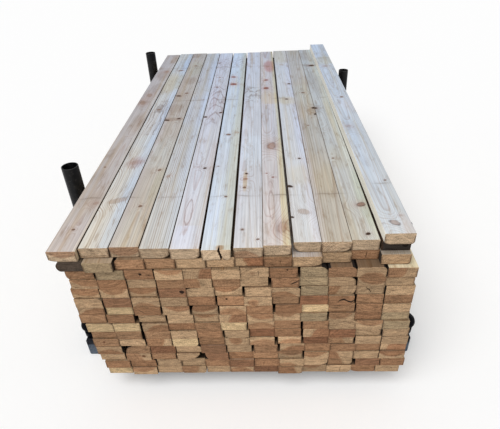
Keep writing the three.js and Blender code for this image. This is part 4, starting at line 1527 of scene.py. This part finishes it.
for side in ("left", "right"):
    node = f"rail_{side}"
    low, high, size, middle = box_of(node)
    rings = box_tube(size[0], size[2], RAIL_WALL, low[1], high[1]) + [middle[0], 0, low[2]]
    add_steel(f"side_{node}", node, dusty_steel, [(rings, True, 0.2)])

for seed, place in enumerate(("front", "middle", "back")):
    node = f"bearer_{place}"
    low, high, size, middle = box_of(node)
    rings = box_tube(size[1], size[2], BEARER_WALL, low[0], high[0])
    add_steel(f"cross_{node}", node, dusty_steel, [
        (rings[..., [1, 0, 2]] + [0, middle[1], low[2]], True, 0.2),
        *((tube_weld(size[1], size[2], x, middle[1], low[2], start + seed), True, 0.1)
          for x, start in ((low[0] + 1 * MM, 20), (high[0] - 1 * MM, 30))),
    ])


# ---- Stage, light, camera ------------------------------------------------------------------

WORLD_LEVEL = 0.4
WHITE = (1.0, 1.0, 1.0, 1.0)
FLOOR_SIZE = 40.0             # from the middle to a side
FLOOR_PAINT = (0.93, 0.93, 0.93, 1.0)
FLOOR_GLOW = 0.11             # keeps the bare floor as white as the background
SUN_LEAN = (26, -17)          # degrees from straight overhead, about X and about Y
SUN_WIDE = 50                 # degrees across: soft shadows
SUN_LEVEL = 1.98
CAMERA_AT = (0.0839244, -2.076861, 1.4799887)
CAMERA_TURN = (0.604599, -0.0381288, 0.0400973)     # tilt down, heading and roll, in radians
CAMERA_LENS = 31.75           # millimetres, for a sensor 36 wide


def seen_rays(net):
    """1 for what the camera sees straight, in a gloss or through something clear."""
    path = net.node("LightPath").outputs
    seen = net.math("MAXIMUM", path["Is Camera Ray"], path["Is Glossy Ray"])
    return net.math("MAXIMUM", seen, path["Is Transmission Ray"])


def add_floor():
    """A plain pale floor: white paint that keeps the object's shadow."""
    net = Net("floor_white")
    diffuse = net.node("BsdfDiffuse", {"Color": FLOOR_PAINT}).outputs[0]
    glow = net.node("Emission", {"Color": WHITE, "Strength": FLOOR_GLOW}).outputs[0]
    both = net.node("AddShader", {0: diffuse, 1: glow}).outputs[0]
    shown = net.node("MixShader", {0: seen_rays(net), 1: diffuse, 2: both})
    net.node("OutputMaterial", {"Surface": shown.outputs[0]})
    corners = np.array([(-1, -1, 0), (1, -1, 0), (1, 1, 0), (-1, 1, 0)]) * FLOOR_SIZE
    add_mesh("floor", corners, [np.array([(0, 1, 2, 3)])], [net.owner])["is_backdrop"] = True


def add_world():
    """Even white surroundings: plain for light, white for what looks straight at it."""
    world = bpy.data.worlds.new("studio")
    bpy.context.scene.world = world
    net = Net("studio", world)
    light, seen = (net.node("Background", {"Color": WHITE, "Strength": level}).outputs[0]
                   for level in (WORLD_LEVEL, 1.0))
    blend = net.node("MixShader", {0: seen_rays(net), 1: light, 2: seen})
    net.node("OutputWorld", {"Surface": blend.outputs[0]})


def add_sun():
    """A broad even light from above."""
    lamp = bpy.data.lights.new("overhead", "SUN")
    lamp.angle = math.radians(SUN_WIDE)
    lamp.energy = SUN_LEVEL
    holder = link("overhead", lamp)
    holder.rotation_euler = (*map(math.radians, SUN_LEAN), 0)
    holder.location = (0, 0, 3)


def add_camera():
    """The camera, turned from level and straight ahead by its heading, its tilt and its roll."""
    pitch, heading, roll = CAMERA_TURN
    c, s = math.cos(heading), math.sin(heading)
    forward = np.array([s * math.cos(pitch), c * math.cos(pitch), -math.sin(pitch)])
    level = np.array([c, -s, 0.0])
    down = np.cross(forward, level)
    right = math.cos(roll) * level + math.sin(roll) * down
    below = math.cos(roll) * down - math.sin(roll) * level
    camera = link("camera", bpy.data.cameras.new("camera"))
    camera.data.sensor_fit = "HORIZONTAL"
    camera.data.sensor_width = 36.0
    camera.data.lens = CAMERA_LENS
    camera.rotation_mode = "QUATERNION"
    turn = Matrix(np.stack([right, -below, -forward], 1).tolist())
    camera.rotation_quaternion = turn.to_quaternion()
    camera.location = CAMERA_AT
    bpy.context.scene.camera = camera


add_floor()
add_world()
add_sun()
add_camera()
bpy.context.scene.view_settings.view_transform = "Standard"

low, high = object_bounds()
